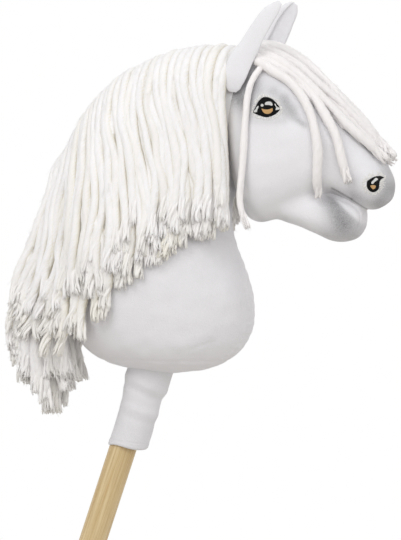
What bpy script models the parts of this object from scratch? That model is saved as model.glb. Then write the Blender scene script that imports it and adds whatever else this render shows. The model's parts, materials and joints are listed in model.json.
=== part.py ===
"""Hobby horse: a stuffed plush horse head with a yarn mane, carried on a round wooden stick.

Metres, +Z up, +X the way the horse faces, +Y its left side. The origin is the centre of the stick's
lower end. The stick leans as it does in use, so that the mane hangs straight down.
Points of the head are given in the head frame: its origin is on the stick's axis at the mouth of the
sleeve, and its axes are the part's.
"""

import math

import bmesh
import bpy
import numpy as np
from mathutils import Matrix, Vector
from mathutils.bvhtree import BVHTree

# Stick
STICK_RADIUS = 0.0125
STICK_EXPOSED = 0.540
STICK_INSERTED = 0.232
STICK_CHAMFER = 0.0015
STICK_LEAN = math.radians(18.4)
TURNED_SIDES = 24

# Clearances and fabric
SEAM_GAP = 0.0003
POCKET_CLEARANCE = 0.0006
FABRIC_WALL = 0.0020
LINING_WALL = 0.0012
FILLING_GAP = 0.0008

# Sleeve round the stick: share of its height, and how slack it is at the rear, front and sides
SLEEVE_WALL = 0.0011
SLEEVE_CLEARANCE = 0.0006
SLEEVE_SLACK = (
    (0.00, 0.0002, 0.0074, 0.0023),
    (0.25, 0.0001, 0.0074, 0.0024),
    (0.50, 0.0012, 0.0066, 0.0033),
    (0.75, 0.0044, 0.0083, 0.0053),
    (1.00, 0.0074, 0.0084, 0.0073),
)
HEM_HEIGHT = 0.0070
HEM_BEAD = 0.0010

# Neck sections, from the bottom pole to the pole inside the head: the back point's x and z,
# the front point's x and z, and the half width
NECK_SECTIONS = (
    (0.0420, 0.0665, 0.0420, 0.0665, 0.0000),
    (0.0120, 0.0720, 0.0740, 0.0705, 0.0240),
    (-0.0150, 0.0790, 0.0940, 0.0780, 0.0420),
    (-0.0350, 0.0920, 0.1095, 0.0895, 0.0540),
    (-0.0470, 0.1110, 0.1188, 0.1040, 0.0610),
    (-0.0545, 0.1370, 0.1222, 0.1220, 0.0650),
    (-0.0570, 0.1710, 0.1195, 0.1440, 0.0660),
    (-0.0550, 0.2110, 0.1110, 0.1690, 0.0630),
    (-0.0450, 0.2560, 0.1030, 0.1950, 0.0570),
    (-0.0260, 0.2990, 0.1015, 0.2220, 0.0510),
    (0.0020, 0.3300, 0.1080, 0.2460, 0.0460),
    (0.0360, 0.3485, 0.1180, 0.2680, 0.0420),
    (0.0700, 0.3565, 0.1320, 0.2900, 0.0390),
    (0.1010, 0.3590, 0.1440, 0.3100, 0.0340),
    (0.1180, 0.3540, 0.1460, 0.3250, 0.0220),
    (0.1360, 0.3400, 0.1360, 0.3400, 0.0000),
)

# Skull and upper muzzle, from the pole inside the neck to the nose: the top point, the under point
# and the half width
HEAD_SECTIONS = (
    (0.0950, 0.3150, 0.0950, 0.3150, 0.0000),
    (0.0980, 0.3420, 0.1020, 0.2850, 0.0270),
    (0.1080, 0.3560, 0.1060, 0.2500, 0.0380),
    (0.1220, 0.3620, 0.1120, 0.2260, 0.0435),
    (0.1370, 0.3615, 0.1200, 0.2110, 0.0470),
    (0.1510, 0.3560, 0.1310, 0.2070, 0.0480),
    (0.1650, 0.3465, 0.1430, 0.2105, 0.0475),
    (0.1790, 0.3345, 0.1560, 0.2160, 0.0460),
    (0.1930, 0.3205, 0.1690, 0.2240, 0.0430),
    (0.2070, 0.3055, 0.1830, 0.2310, 0.0390),
    (0.2195, 0.2920, 0.1960, 0.2335, 0.0350),
    (0.2310, 0.2795, 0.2090, 0.2290, 0.0325),
    (0.2405, 0.2690, 0.2210, 0.2225, 0.0315),
    (0.2485, 0.2605, 0.2320, 0.2190, 0.0300),
    (0.2535, 0.2520, 0.2425, 0.2200, 0.0265),
    (0.2558, 0.2450, 0.2500, 0.2245, 0.0200),
    (0.2562, 0.2395, 0.2545, 0.2295, 0.0110),
    (0.2560, 0.2345, 0.2560, 0.2345, 0.0000),
)

# Lower jaw, from the pole inside the cheek to the chin
JAW_SECTIONS = (
    (0.1300, 0.2330, 0.1300, 0.2330, 0.0000),
    (0.1350, 0.2420, 0.1370, 0.2200, 0.0200),
    (0.1480, 0.2440, 0.1500, 0.2090, 0.0280),
    (0.1670, 0.2420, 0.1650, 0.2030, 0.0295),
    (0.1850, 0.2380, 0.1810, 0.1965, 0.0285),
    (0.1990, 0.2315, 0.1950, 0.1910, 0.0270),
    (0.2090, 0.2265, 0.2075, 0.1895, 0.0250),
    (0.2190, 0.2205, 0.2180, 0.1925, 0.0220),
    (0.2260, 0.2150, 0.2255, 0.1995, 0.0165),
    (0.2288, 0.2110, 0.2287, 0.2050, 0.0090),
    (0.2292, 0.2080, 0.2292, 0.2080, 0.0000),
)

# Faces round each form, and how square its sections are (2 is an ellipse)
NECK_AROUND = 24
HEAD_AROUND = 24
JAW_AROUND = 16
NECK_POWER = 2.15
HEAD_POWER = 2.5
JAW_POWER = 2.4

# Seams of the skin, and the mouth from its corner to the lips: x and z above the upper lining,
# and x and z under the lower lining
BASE_SEAM_HEIGHT = 0.080
THROAT_GUSSET_HALF = 0.012
FACE_GUSSET_HALF = 0.017
CHIN_GUSSET_HALF = 0.010
PALATE_LINE = ((0.1960, 0.2370), (0.2100, 0.2330), (0.2220, 0.2262), (0.2330, 0.2226), (0.2370, 0.2226))
LOWER_LINING_LINE = ((0.2000, 0.2275), (0.2100, 0.2222), (0.2200, 0.2165), (0.2250, 0.2125))

# Ears: the middle line from the base to the tip in x and z, the half width, and how far they stand
# from the middle of the head
EAR_LINE = (
    (0.1085, 0.3290, 0.0070),
    (0.1135, 0.3440, 0.0125),
    (0.1225, 0.3610, 0.0130),
    (0.1310, 0.3780, 0.0110),
    (0.1420, 0.3930, 0.0082),
    (0.1505, 0.4030, 0.0048),
    (0.1540, 0.4085, 0.0018),
)
EAR_STAND_BASE = 0.0420
EAR_STAND_TIP = 0.0330
EAR_WALL = 0.0030
EAR_LINING_WALL = 0.0024
EAR_CUP = 0.0045
EAR_ACROSS = 4
EAR_ALONG = 8

# Eyes and nostrils: centre in x and z, and half width and half height
EYE_CENTRE = (0.1445, 0.3125)
EYE_HALF = (0.0125, 0.0090)
EYE_TILT = math.radians(-8)
EYE_SHARPNESS = 0.45
IRIS_CENTRE = (0.1450, 0.3105)
IRIS_HALF = (0.0050, 0.0040)
GLINT_CENTRE = (0.1462, 0.3178)
GLINT_HALF = (0.0024, 0.0015)
NOSTRIL_CENTRE = (0.2392, 0.2425)
NOSTRIL_HALF = (0.0072, 0.0058)
NOSTRIL_TILT = math.radians(38)
NOSTRIL_SHARPNESS = 0.3
THREAD_HEIGHT = 0.0012
SINK = 0.0012
PATCH_AROUND = 12

# Mane: the tape on the crest, and the yarn that hangs from it
TAPE_HALF = 0.0055
TAPE_WALL = 0.0012
TAPE_LIFT = 0.0010
ROOT_GAP = 0.0006
TAPE_ALONG = 24
YARN_LENGTH = 0.205
YARN_THICK = 0.0048
YARN_VALLEY = 0.55
LOCK_STRANDS = 4
LOCK_ROWS = (0.0, 0.03, 0.08, 0.16, 0.28, 0.44, 0.68, 1.0)
LOCK_LIFT = 0.0013
LAYER_GAP = 0.0006
NEAR_LOCKS = 6
FAR_LOCKS = 4
HANGING_HALF = 0.014
HANGING_REACH = 0.030
HANGING_SLOPE = 0.7
RAGGED = (0.00, 0.06, 0.015, 0.045, 0.03)

# How the yarn is laid: how far out the skin is looked for, how far and how finely a strand is draped,
# how far down it looks for a wider body, and the grid that the drape is kept on
SKIN_SEARCH = 0.03
DRAPE_REACH = 0.230
DRAPE_STEPS = 70
LOOK_STEP = 0.006
LOOK_STEPS = 9
SHEET_COLUMNS = 49
SHEET_ROWS = 33
SHEET_SMOOTHING = 3

# Where the yarn of the sides leaves the crest, from the poll back: x and z of the root, the direction
# in which it hangs (degrees back from straight down), and the share of the yarn's length to its end
MANE_ROOTS = (
    (0.0980, 0.3600, -3.5, 0.86),
    (0.0700, 0.3565, -1.0, 0.88),
    (0.0360, 0.3485, 1.0, 0.90),
    (0.0020, 0.3300, 4.0, 0.95),
    (-0.0260, 0.2990, 12.0, 1.00),
    (-0.0400, 0.2690, 25.0, 0.92),
)
TOP_LAYER_SHARE = 0.86
FAR_LAYER_SHARE = 0.95

# Bunch that hangs behind the neck. Each lock has its front and rear edges in x and z, from the tape
# to the end. The first x is set by the tape
REAR_LOCKS = (
    (
        ((-0.0579, 0.1900), (-0.0610, 0.1650), (-0.0595, 0.1250), (-0.0490, 0.0850), (-0.0380, 0.0560)),
        ((-0.0572, 0.2050), (-0.0690, 0.1700), (-0.0715, 0.1250), (-0.0650, 0.0820), (-0.0558, 0.0440)),
    ),
    (
        ((-0.0576, 0.2060), (-0.0694, 0.1702), (-0.0719, 0.1250), (-0.0654, 0.0800), (-0.0562, 0.0320)),
        ((-0.0550, 0.2205), (-0.0770, 0.1740), (-0.0840, 0.1240), (-0.0840, 0.0800), (-0.0800, 0.0320)),
    ),
    (
        ((-0.0556, 0.2212), (-0.0774, 0.1743), (-0.0844, 0.1240), (-0.0847, 0.0850), (-0.0830, 0.0540)),
        ((-0.0514, 0.2360), (-0.0800, 0.1810), (-0.0940, 0.1340), (-0.1000, 0.0980), (-0.1010, 0.0720)),
    ),
)
REAR_HALF_ROOT = 0.0035
REAR_HALF = 0.0110
REAR_STRANDS = 3
REAR_VALLEY = 0.75
REAR_ROWS = 8

# Forelock on the head: shares along the head and degrees round it (positive on the right side), from
# the root to the end, and the half width at the root and at the end
FORELOCKS = (
    ("forelock_ridge", ((0.20, 0), (0.36, 0), (0.50, 0), (0.64, 0), (0.76, 0)), 0.0050, 0.0055),
    ("forelock_right_1", ((0.20, 10.5), (0.36, 11), (0.50, 22), (0.62, 38), (0.74, 34)), 0.0050, 0.0050),
    ("forelock_right_2", ((0.20, 25), (0.37, 27), (0.50, 48), (0.575, 80), (0.65, 108)), 0.0048, 0.0040),
    ("forelock_right_3", ((0.24, 41), (0.33, 45), (0.42, 66), (0.50, 92), (0.56, 122)), 0.0035, 0.0035),
    ("forelock_left_1", ((0.20, -10.5), (0.36, -11), (0.50, -20), (0.62, -34), (0.73, -30)), 0.0050, 0.0050),
    ("forelock_left_2", ((0.20, -25), (0.37, -27), (0.50, -44), (0.575, -72), (0.64, -98)), 0.0048, 0.0040),
    ("forelock_left_3", ((0.24, -41), (0.33, -45), (0.42, -62), (0.49, -84), (0.54, -108)), 0.0035, 0.0035),
)
FORELOCK_THICK = 0.0065
FORELOCK_LIFT = 0.0016
FORELOCK_ROOT_LIFT = 0.0005
FORELOCK_STRANDS = 2
FORELOCK_ROWS = 13

# Steps, along and in degrees round the head, that give the skin's normal
SKIN_STEP_ALONG = 0.002
SKIN_STEP_ROUND = 0.5

# Single strand down the right cheek: x and z from its root to its end
CHEEK_STRAND = ((0.1365, 0.3425), (0.1260, 0.3230), (0.1225, 0.2820), (0.1205, 0.2360), (0.1250, 0.2040))
CHEEK_STRAND_RADIUS = 0.0024
CHEEK_STRAND_LIFT = 0.0012
CHEEK_STRAND_ROWS = 12

# Far enough out to clear the whole head. A cutter's corners move by this many times its growth
FAR = 0.60
CORNER_GROWTH = 1.8


def on_stick(distance):
    """A point of the stick's axis, this far up from the end that the origin is at."""
    return Vector((math.sin(STICK_LEAN), 0.0, math.cos(STICK_LEAN))) * distance


SIDES = (("right", -1), ("left", 1))
STICK_UP = on_stick(1.0)
HEAD_AT = on_stick(STICK_EXPOSED)
MATERIALS = {}


def clear_scene():
    for obj in list(bpy.data.objects):
        bpy.data.objects.remove(obj)


def new_collection(name):
    collection = bpy.data.collections.new(name)
    bpy.context.scene.collection.children.link(collection)
    return collection


clear_scene()
PARTS = new_collection("hobby_horse")
CUTTERS = new_collection("cutters")


def add_material(name, colour, roughness):
    made = bpy.data.materials.new(name)
    made.use_nodes = True
    shader = made.node_tree.nodes["Principled BSDF"]
    shader.inputs["Base Color"].default_value = (*colour, 1.0)
    shader.inputs["Roughness"].default_value = roughness
    shader.inputs["Metallic"].default_value = 0.0
    made.diffuse_color = (*colour, 1.0)
    MATERIALS[name] = made


def add_materials():
    add_material("wood", (0.70, 0.50, 0.26), 0.45)
    add_material("plush", (0.80, 0.80, 0.81), 0.95)
    add_material("lining", (0.80, 0.79, 0.77), 0.95)
    add_material("filling", (0.90, 0.90, 0.88), 1.0)
    add_material("yarn", (0.86, 0.83, 0.74), 0.95)
    add_material("tape", (0.84, 0.82, 0.76), 0.9)
    add_material("black_thread", (0.012, 0.012, 0.014), 0.5)
    add_material("amber_thread", (0.80, 0.40, 0.11), 0.5)
    add_material("white_thread", (0.88, 0.88, 0.86), 0.6)


def mesh_object(name, points, faces, material_name=None, smooth=True):
    """An object in the head frame from points and faces, with its faces turned outward."""
    mesh = bpy.data.meshes.new(name)
    mesh.from_pydata([tuple(p) for p in points], [], [tuple(f) for f in faces])
    shaped = bmesh.new()
    shaped.from_mesh(mesh)
    bmesh.ops.recalc_face_normals(shaped, faces=shaped.faces)
    if shaped.calc_volume(signed=True) < 0:
        bmesh.ops.reverse_faces(shaped, faces=shaped.faces)
    shaped.to_mesh(mesh)
    shaped.free()
    obj = bpy.data.objects.new(name, mesh)
    PARTS.objects.link(obj)
    obj.location = HEAD_AT
    if smooth:
        mesh.shade_smooth()
        mesh.set_sharp_from_angle(angle=math.radians(45))
    if material_name:
        mesh.materials.append(MATERIALS[material_name])
    return obj


def as_cutter(obj):
    """Moves an object to the cutters, out of the part."""
    PARTS.objects.unlink(obj)
    CUTTERS.objects.link(obj)
    obj.hide_render = True
    obj.display_type = "WIRE"
    return obj


def as_piece(obj, material_name):
    """Moves a grown form out of the cutters into the part."""
    CUTTERS.objects.unlink(obj)
    PARTS.objects.link(obj)
    obj.hide_render = False
    obj.display_type = "TEXTURED"
    obj.data.materials.append(MATERIALS[material_name])
    return obj


def combine(obj, operation, others):
    for other in others:
        modifier = obj.modifiers.new(operation.lower() + "_" + other.name, "BOOLEAN")
        modifier.operation = operation
        modifier.object = other
        modifier.solver = "EXACT"
    return obj


def cut(obj, *others):
    return combine(obj, "DIFFERENCE", others)


def keep_within(obj, *others):
    return combine(obj, "INTERSECT", others)


def smooth_rows(rows, steps):
    """A curve through every row, with this many steps between two rows (Catmull-Rom)."""
    rows = np.array(rows, float)
    padded = np.vstack([2 * rows[0] - rows[1], rows, 2 * rows[-1] - rows[-2]])
    made = []
    for i in range(len(rows) - 1):
        a, b, c, d = padded[i : i + 4]
        for t in np.linspace(0, 1, steps, endpoint=False):
            straight = 2 * b + (c - a) * t
            bent = (2 * a - 5 * b + 4 * c - d) * t**2 + (3 * b - a - 3 * c + d) * t**3
            made.append(0.5 * (straight + bent))
    made.append(rows[-1])
    return np.array(made)


def along(rows, shares):
    """The rows of a smooth curve at shares of the number of its rows."""
    dense = smooth_rows(rows, 12)
    at = np.array(shares, float) * (len(dense) - 1)
    return np.stack([np.interp(at, np.arange(len(dense)), column) for column in dense.T], axis=1)


def oval_point(row, angles, power):
    """Points of an upright oval section. Angle 0 is its top or back, and positive is the right side."""
    top = np.array([row[0], 0.0, row[1]])
    under = np.array([row[2], 0.0, row[3]])
    cosine, sine = np.cos(angles), np.sin(angles)
    up = np.sign(cosine) * np.abs(cosine) ** (2 / power)
    side = -np.sign(sine) * np.abs(sine) ** (2 / power)
    return (top + under) / 2 + np.outer(up, (top - under) / 2) + np.outer(side, [0.0, row[4], 0.0])


def loft(sections, around, power):
    """Points and faces of a closed form through oval sections that start and end in a point."""
    angles = np.linspace(0, 2 * math.pi, around, endpoint=False)
    rings = [oval_point(row, angles, power) for row in sections[1:-1]]
    first, last = sections[0], sections[-1]
    points = np.vstack([[[first[0], 0.0, first[1]]], *rings, [[last[0], 0.0, last[1]]]])
    faces = []
    end = len(points) - 1
    for j in range(around):
        k = (j + 1) % around
        faces.append((0, 1 + k, 1 + j))
        faces.append((end, end - around + j, end - around + k))
        for i in range(len(rings) - 1):
            base = 1 + i * around
            faces.append((base + j, base + k, base + around + k, base + around + j))
    return points, faces


def grown(name, form, distance):
    """A cutter: the form with each point moved out along its normal, or in if distance is negative."""
    obj = as_cutter(mesh_object(name, *form, smooth=False))
    normals = [vertex.normal.copy() for vertex in obj.data.vertices]
    for vertex, normal in zip(obj.data.vertices, normals):
        vertex.co += normal * distance
    return obj


def outline_form(outline, low=-FAR, high=FAR):
    """Points and faces of an outline of x and z, drawn out from y low to y high."""
    count = len(outline)
    points = np.array([(x, y, z) for y in (low, high) for x, z in outline])
    faces = [tuple(range(count)), tuple(range(2 * count - 1, count - 1, -1))]
    faces += [(i, (i + 1) % count, (i + 1) % count + count, i + count) for i in range(count)]
    return points, faces


def prism(name, outline, low=-FAR, high=FAR):
    """A cutter: an outline of x and z, drawn out from y low to y high."""
    return as_cutter(mesh_object(name, *outline_form(outline, low, high), smooth=False))


def middle_line(sections):
    """The line half way between the two outlines of a form, in x and z."""
    return [((row[0] + row[2]) / 2, (row[1] + row[3]) / 2) for row in sections]


NECK = loft(NECK_SECTIONS, NECK_AROUND, NECK_POWER)
HEAD = loft(HEAD_SECTIONS, HEAD_AROUND, HEAD_POWER)
JAW = loft(JAW_SECTIONS, JAW_AROUND, JAW_POWER)


def tree_of(form):
    return BVHTree.FromPolygons([tuple(p) for p in form[0]], form[1])


NECK_TREE = tree_of(NECK)
HEAD_TREE = tree_of(HEAD)


def turned(name, profile, material_name, at):
    """A turned shape on the stick's axis. Its profile is radius and distance, down its outer side."""
    mesh = bpy.data.meshes.new(name)
    mesh.from_pydata([(r, 0.0, z) for r, z in profile], [(i, i + 1) for i in range(len(profile) - 1)], [])
    obj = bpy.data.objects.new(name, mesh)
    PARTS.objects.link(obj)
    screw = obj.modifiers.new("turn", "SCREW")
    screw.steps = TURNED_SIDES
    screw.render_steps = TURNED_SIDES
    screw.use_merge_vertices = True
    screw.merge_threshold = 0.00005
    mesh.materials.append(MATERIALS[material_name])
    obj.location = at
    obj.rotation_euler = (0.0, STICK_LEAN, 0.0)
    return obj


def add_stick():
    """The wooden dowel."""
    length = STICK_EXPOSED + STICK_INSERTED
    shoulder = STICK_RADIUS - STICK_CHAMFER
    profile = [
        (0.0, length),
        (shoulder, length),
        (STICK_RADIUS, length - STICK_CHAMFER),
        (STICK_RADIUS, STICK_CHAMFER),
        (shoulder, 0.0),
        (0.0, 0.0),
    ]
    turned("stick", profile, "wood", (0.0, 0.0, 0.0))


def neck_underside():
    """How far up the stick from the sleeve's mouth the underside of the neck is."""
    return NECK_TREE.ray_cast(Vector((0.0, 0.0, 0.0)), STICK_UP)[0].length


POCKET_INNER = STICK_RADIUS + POCKET_CLEARANCE
POCKET_OUTER = POCKET_INNER + LINING_WALL
POCKET_TOP = STICK_INSERTED + SEAM_GAP


def add_pocket():
    """The sewn tube inside the neck that takes the stick, closed at its top."""
    profile = [
        (0.0, POCKET_TOP + LINING_WALL),
        (POCKET_OUTER, POCKET_TOP + LINING_WALL),
        (POCKET_OUTER, neck_underside()),
        (POCKET_INNER, neck_underside()),
        (POCKET_INNER, POCKET_TOP),
        (0.0, POCKET_TOP),
    ]
    turned("stick_pocket", profile, "lining", HEAD_AT)


def pocket_hole():
    """A cutter that leaves room for the pocket, and the stick's way in below it."""
    radius = POCKET_OUTER + SEAM_GAP
    top = POCKET_TOP + LINING_WALL + SEAM_GAP
    profile = [(0.0, top), (radius, top), (radius, 0.0), (0.0, 0.0)]
    return as_cutter(turned("pocket_hole", profile, "lining", HEAD_AT))


def fabric_tube(name, rings, wall, material_name):
    """A tube of fabric round the stick. A ring is its distance, and its rear, front and side reach."""
    angles = np.linspace(0, 2 * math.pi, TURNED_SIDES, endpoint=False)
    turn = np.array(Matrix.Rotation(STICK_LEAN, 3, "Y"))
    points = []
    for distance, rear, front, side, thick in rings:
        for inset in (0.0, wall if thick is None else thick):
            across = (rear + front) / 2 - inset
            ring = [(front - rear) / 2 + across * np.cos(angles), (side - inset) * np.sin(angles)]
            ring = np.stack([*ring, np.full(TURNED_SIDES, distance)], axis=1)
            points.append(ring @ turn.T)
    faces = []
    last = 2 * (len(rings) - 1) * TURNED_SIDES
    for j in range(TURNED_SIDES):
        k = (j + 1) % TURNED_SIDES
        for i in range(len(rings) - 1):
            a = 2 * i * TURNED_SIDES
            b = a + 2 * TURNED_SIDES
            c, d = a + TURNED_SIDES, b + TURNED_SIDES
            faces.append((a + j, a + k, b + k, b + j))
            faces.append((c + j, d + j, d + k, c + k))
        faces.append((j, TURNED_SIDES + j, TURNED_SIDES + k, k))
        faces.append((last + j, last + k, last + TURNED_SIDES + k, last + TURNED_SIDES + j))
    return mesh_object(name, np.vstack(points), faces, material_name)


def sleeve_ring(distance, slack, bead=0.0):
    """A ring of the sleeve from how slack it is round the stick."""
    fit = STICK_RADIUS + SLEEVE_CLEARANCE + SLEEVE_WALL
    thick = SLEEVE_WALL + bead
    return (distance, fit + slack[0] + bead, fit + slack[1] + bead, fit + slack[2] + bead, thick)


def add_sleeve(neck_outside):
    """The fabric sleeve from the underside of the neck down the stick, and its folded hem."""
    low = HEM_HEIGHT + SEAM_GAP
    top = neck_underside() + SLEEVE_SLACK[-1][1]
    rows = [sleeve_ring(low + (top - low) * row[0], row[1:]) for row in smooth_rows(SLEEVE_SLACK, 2)]
    cut(fabric_tube("sleeve", rows, SLEEVE_WALL, "plush"), neck_outside)
    mouth = SLEEVE_SLACK[0][1:]
    hem = (
        sleeve_ring(0.0, mouth),
        sleeve_ring(HEM_HEIGHT * 0.3, mouth, HEM_BEAD),
        sleeve_ring(HEM_HEIGHT * 0.7, mouth, HEM_BEAD),
        sleeve_ring(HEM_HEIGHT, mouth),
    )
    fabric_tube("sleeve_hem", hem, SLEEVE_WALL, "plush")


def add_fillings(hole, head_outside):
    """The stuffing: the neck whole, the head cut by the neck, and the jaw cut by both."""
    inset = FABRIC_WALL + 2 * SEAM_GAP
    neck_room = grown("neck_room", NECK, FILLING_GAP - inset)
    cut(as_piece(grown("neck_filling", NECK, -inset), "filling"), hole)
    cut(as_piece(grown("head_filling", HEAD, -inset), "filling"), neck_room)
    cut(as_piece(grown("jaw_filling", JAW, -inset), "filling"), head_outside, neck_room)


def skin_piece(name, form, material_name, regions, cutters):
    """A piece of a form's skin: the form within the regions, less its inside and other forms."""
    return cut(keep_within(mesh_object(name, *form, material_name), *regions), *cutters)


def side_slab(name, side):
    """A cutter that keeps one side of the middle seam. Side is -1 for the right."""
    low, high = sorted((side * SEAM_GAP / 2, side * FAR))
    return prism(name, ((-FAR, -FAR), (FAR, -FAR), (FAR, FAR), (-FAR, FAR)), low, high)


def strip_and_room(name, outline, half):
    """Cutters for a strip across the middle, and for the room that it takes with its seams."""
    form = outline_form(outline, -half, half)
    return grown(name, form, 0.0), grown(name + "_room", form, CORNER_GROWTH * SEAM_GAP)


def add_neck_skin(head_inside, hole):
    """Neck skin: two side panels, the gusset down the throat and the base round the stick."""
    cutters = (grown("neck_inside", NECK, -FABRIC_WALL), head_inside, hole)
    under = prism("base_region", ((-FAR, -FAR), (FAR, -FAR), (FAR, BASE_SEAM_HEIGHT), (-FAR, BASE_SEAM_HEIGHT)))
    seam = BASE_SEAM_HEIGHT + SEAM_GAP
    over = prism("sides_region", ((-FAR, seam), (FAR, seam), (FAR, FAR), (-FAR, FAR)))
    line = middle_line(NECK_SECTIONS)
    outline = line + [(FAR, line[-1][1]), (FAR, -FAR), (line[0][0], -FAR)]
    strip, room = strip_and_room("throat_region", outline, THROAT_GUSSET_HALF)
    for side_name, side in SIDES:
        half = side_slab("half_" + side_name, side)
        name = "neck_" + side_name + "_panel"
        skin_piece(name, NECK, "plush", (half, over), (*cutters, room))
    skin_piece("throat_gusset", NECK, "plush", (strip, over), cutters)
    skin_piece("neck_base_panel", NECK, "plush", (under,), cutters)


def add_head_skin(neck_outside):
    """Head skin: two cheek panels, the gusset down the face and the lining of the upper mouth."""
    cutters = (grown("head_lining", HEAD, -FABRIC_WALL), neck_outside)
    line = middle_line(HEAD_SECTIONS)
    outline = line + [(FAR, line[-1][1]), (FAR, FAR), (line[0][0], FAR)]
    strip, room = strip_and_room("face_region", outline, FACE_GUSSET_HALF)
    mouth = list(PALATE_LINE) + [(PALATE_LINE[-1][0], 0.0), (PALATE_LINE[0][0], 0.0)]
    palate = prism("palate_region", mouth)
    palate_room = grown("palate_room", outline_form(mouth), CORNER_GROWTH * SEAM_GAP)
    for side_name, side in SIDES:
        name = "head_" + side_name + "_panel"
        half = CUTTERS.objects["half_" + side_name]
        skin_piece(name, HEAD, "plush", (half,), (*cutters, room, palate_room))
    skin_piece("face_gusset", HEAD, "plush", (strip,), cutters)
    skin_piece("upper_mouth_lining", HEAD, "lining", (palate,), cutters)


def add_jaw_skin(neck_outside, head_outside):
    """Lower jaw skin: two side panels, the gusset under the chin and the lining of the lower mouth."""
    cutters = (grown("jaw_inside", JAW, -FABRIC_WALL), head_outside, neck_outside)
    line = middle_line(JAW_SECTIONS)
    outline = line + [(FAR, line[-1][1]), (FAR, 0.0), (line[0][0], 0.0)]
    strip, room = strip_and_room("chin_region", outline, CHIN_GUSSET_HALF)
    mouth = list(LOWER_LINING_LINE) + [(LOWER_LINING_LINE[-1][0], FAR), (LOWER_LINING_LINE[0][0], FAR)]
    lining = prism("lower_lining_region", mouth)
    lining_room = grown("lower_lining_room", outline_form(mouth), CORNER_GROWTH * SEAM_GAP)
    for side_name, side in SIDES:
        name = "jaw_" + side_name + "_panel"
        half = CUTTERS.objects["half_" + side_name]
        skin_piece(name, JAW, "plush", (half,), (room, lining_room, *cutters))
    skin_piece("chin_gusset", JAW, "plush", (strip,), cutters)
    skin_piece("lower_mouth_lining", JAW, "lining", (lining,), cutters)


def grid_solid(name, outer, inner, material_name):
    """A closed slab between two grids of points of the same size."""
    rows, columns = outer.shape[:2]
    points = np.vstack([outer.reshape(-1, 3), inner.reshape(-1, 3)])
    shift = rows * columns
    faces = []
    for i in range(rows - 1):
        for j in range(columns - 1):
            a, b = i * columns + j, (i + 1) * columns + j
            faces.append((a, a + 1, b + 1, b))
            faces.append((shift + a, shift + b, shift + b + 1, shift + a + 1))
    rim = [(0, j) for j in range(columns)] + [(i, columns - 1) for i in range(1, rows)]
    rim += [(rows - 1, j) for j in range(columns - 2, -1, -1)] + [(i, 0) for i in range(rows - 2, 0, -1)]
    rim = [i * columns + j for i, j in rim]
    for a, b in zip(rim, rim[1:] + rim[:1]):
        faces.append((a, b, shift + b, shift + a))
    return mesh_object(name, points, faces, material_name)


def sheet_normals(grid):
    """Unit normals of a grid of points, pointing away from the middle plane or up."""
    down = np.gradient(grid, axis=0)
    across = np.gradient(grid, axis=1)
    normals = np.cross(down, across)
    return normals / np.maximum(np.linalg.norm(normals, axis=2, keepdims=True), 1e-9)


def add_ears(head_outside):
    """Each ear: an outer leaf, cupped forward, and a lining leaf inside the cup."""
    rows = along(EAR_LINE, np.linspace(0, 1, EAR_ALONG))
    heights = (rows[:, 1] - rows[0, 1]) / (rows[-1, 1] - rows[0, 1])
    direction = np.gradient(rows[:, :2], axis=0)
    direction /= np.linalg.norm(direction, axis=1, keepdims=True)
    across = np.linspace(-1, 1, EAR_ACROSS + 1)
    for side_name, side in SIDES:
        sheet = np.zeros((EAR_ALONG, EAR_ACROSS + 1, 3))
        for i, (x, z, half) in enumerate(rows):
            ahead = np.array([direction[i][1], -direction[i][0]])
            stand = EAR_STAND_BASE + (EAR_STAND_TIP - EAR_STAND_BASE) * heights[i]
            sheet[i, :, 0] = x + across * half * ahead[0]
            sheet[i, :, 2] = z + across * half * ahead[1]
            cup = EAR_CUP * (half / EAR_LINE[2][2]) * (1 - across**2)
            skin = np.array([body_reach(px, pz, side) for px, _, pz in sheet[i]])
            sheet[i, :, 1] = side * np.maximum(stand + cup, skin + EAR_LINING_WALL)
        out = np.array([0.0, side, 0.0])
        face = sheet - out * SEAM_GAP
        grid_solid("ear_" + side_name + "_outer", sheet + out * EAR_WALL, sheet, "plush")
        lining = grid_solid("ear_" + side_name + "_lining", face, face - out * EAR_LINING_WALL, "lining")
        cut(lining, head_outside)


def side_hit(x, z, side):
    """The place and normal of the head's skin at x and z, seen from one side."""
    place, normal, _, _ = HEAD_TREE.ray_cast(Vector((x, side * FAR, z)), Vector((0.0, -side, 0.0)))
    return np.array(place), np.array(normal if normal.y * side > 0 else -normal)


def almond(centre, half, tilt, sharpness):
    """An outline in x and z: an ellipse drawn out to points where sharpness is over 0."""
    angles = np.linspace(0, 2 * math.pi, PATCH_AROUND, endpoint=False)
    wide = np.cos(angles)
    high = np.sin(angles) * (1 - sharpness * np.abs(wide) ** 3)
    x = centre[0] + half[0] * wide * math.cos(tilt) - half[1] * high * math.sin(tilt)
    z = centre[1] + half[0] * wide * math.sin(tilt) + half[1] * high * math.cos(tilt)
    return np.stack([x, z], axis=1)


def skin_patch(name, outline, side, low, high, material_name, ground):
    """Raised embroidery between two heights over the skin, less the ground that it is sewn on."""
    middle = outline.mean(axis=0)
    count = len(outline)
    layers = []
    for height in (low, high):
        for share in (0.0, 0.5, 1.0):
            for spot in outline if share else outline[:1]:
                x, z = middle + (spot - middle) * share
                place, normal = side_hit(x, z, side)
                layers.append(place + normal * height)
    size = 1 + 2 * count
    faces = []
    for j in range(count):
        k = (j + 1) % count
        for base in (0, size):
            faces.append((base, base + 1 + j, base + 1 + k))
            faces.append((base + 1 + j, base + 1 + count + j, base + 1 + count + k, base + 1 + k))
        a, b = 1 + count + j, 1 + count + k
        faces.append((a, b, size + b, size + a))
    return cut(mesh_object(name, layers, faces, material_name, smooth=False), ground)


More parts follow.
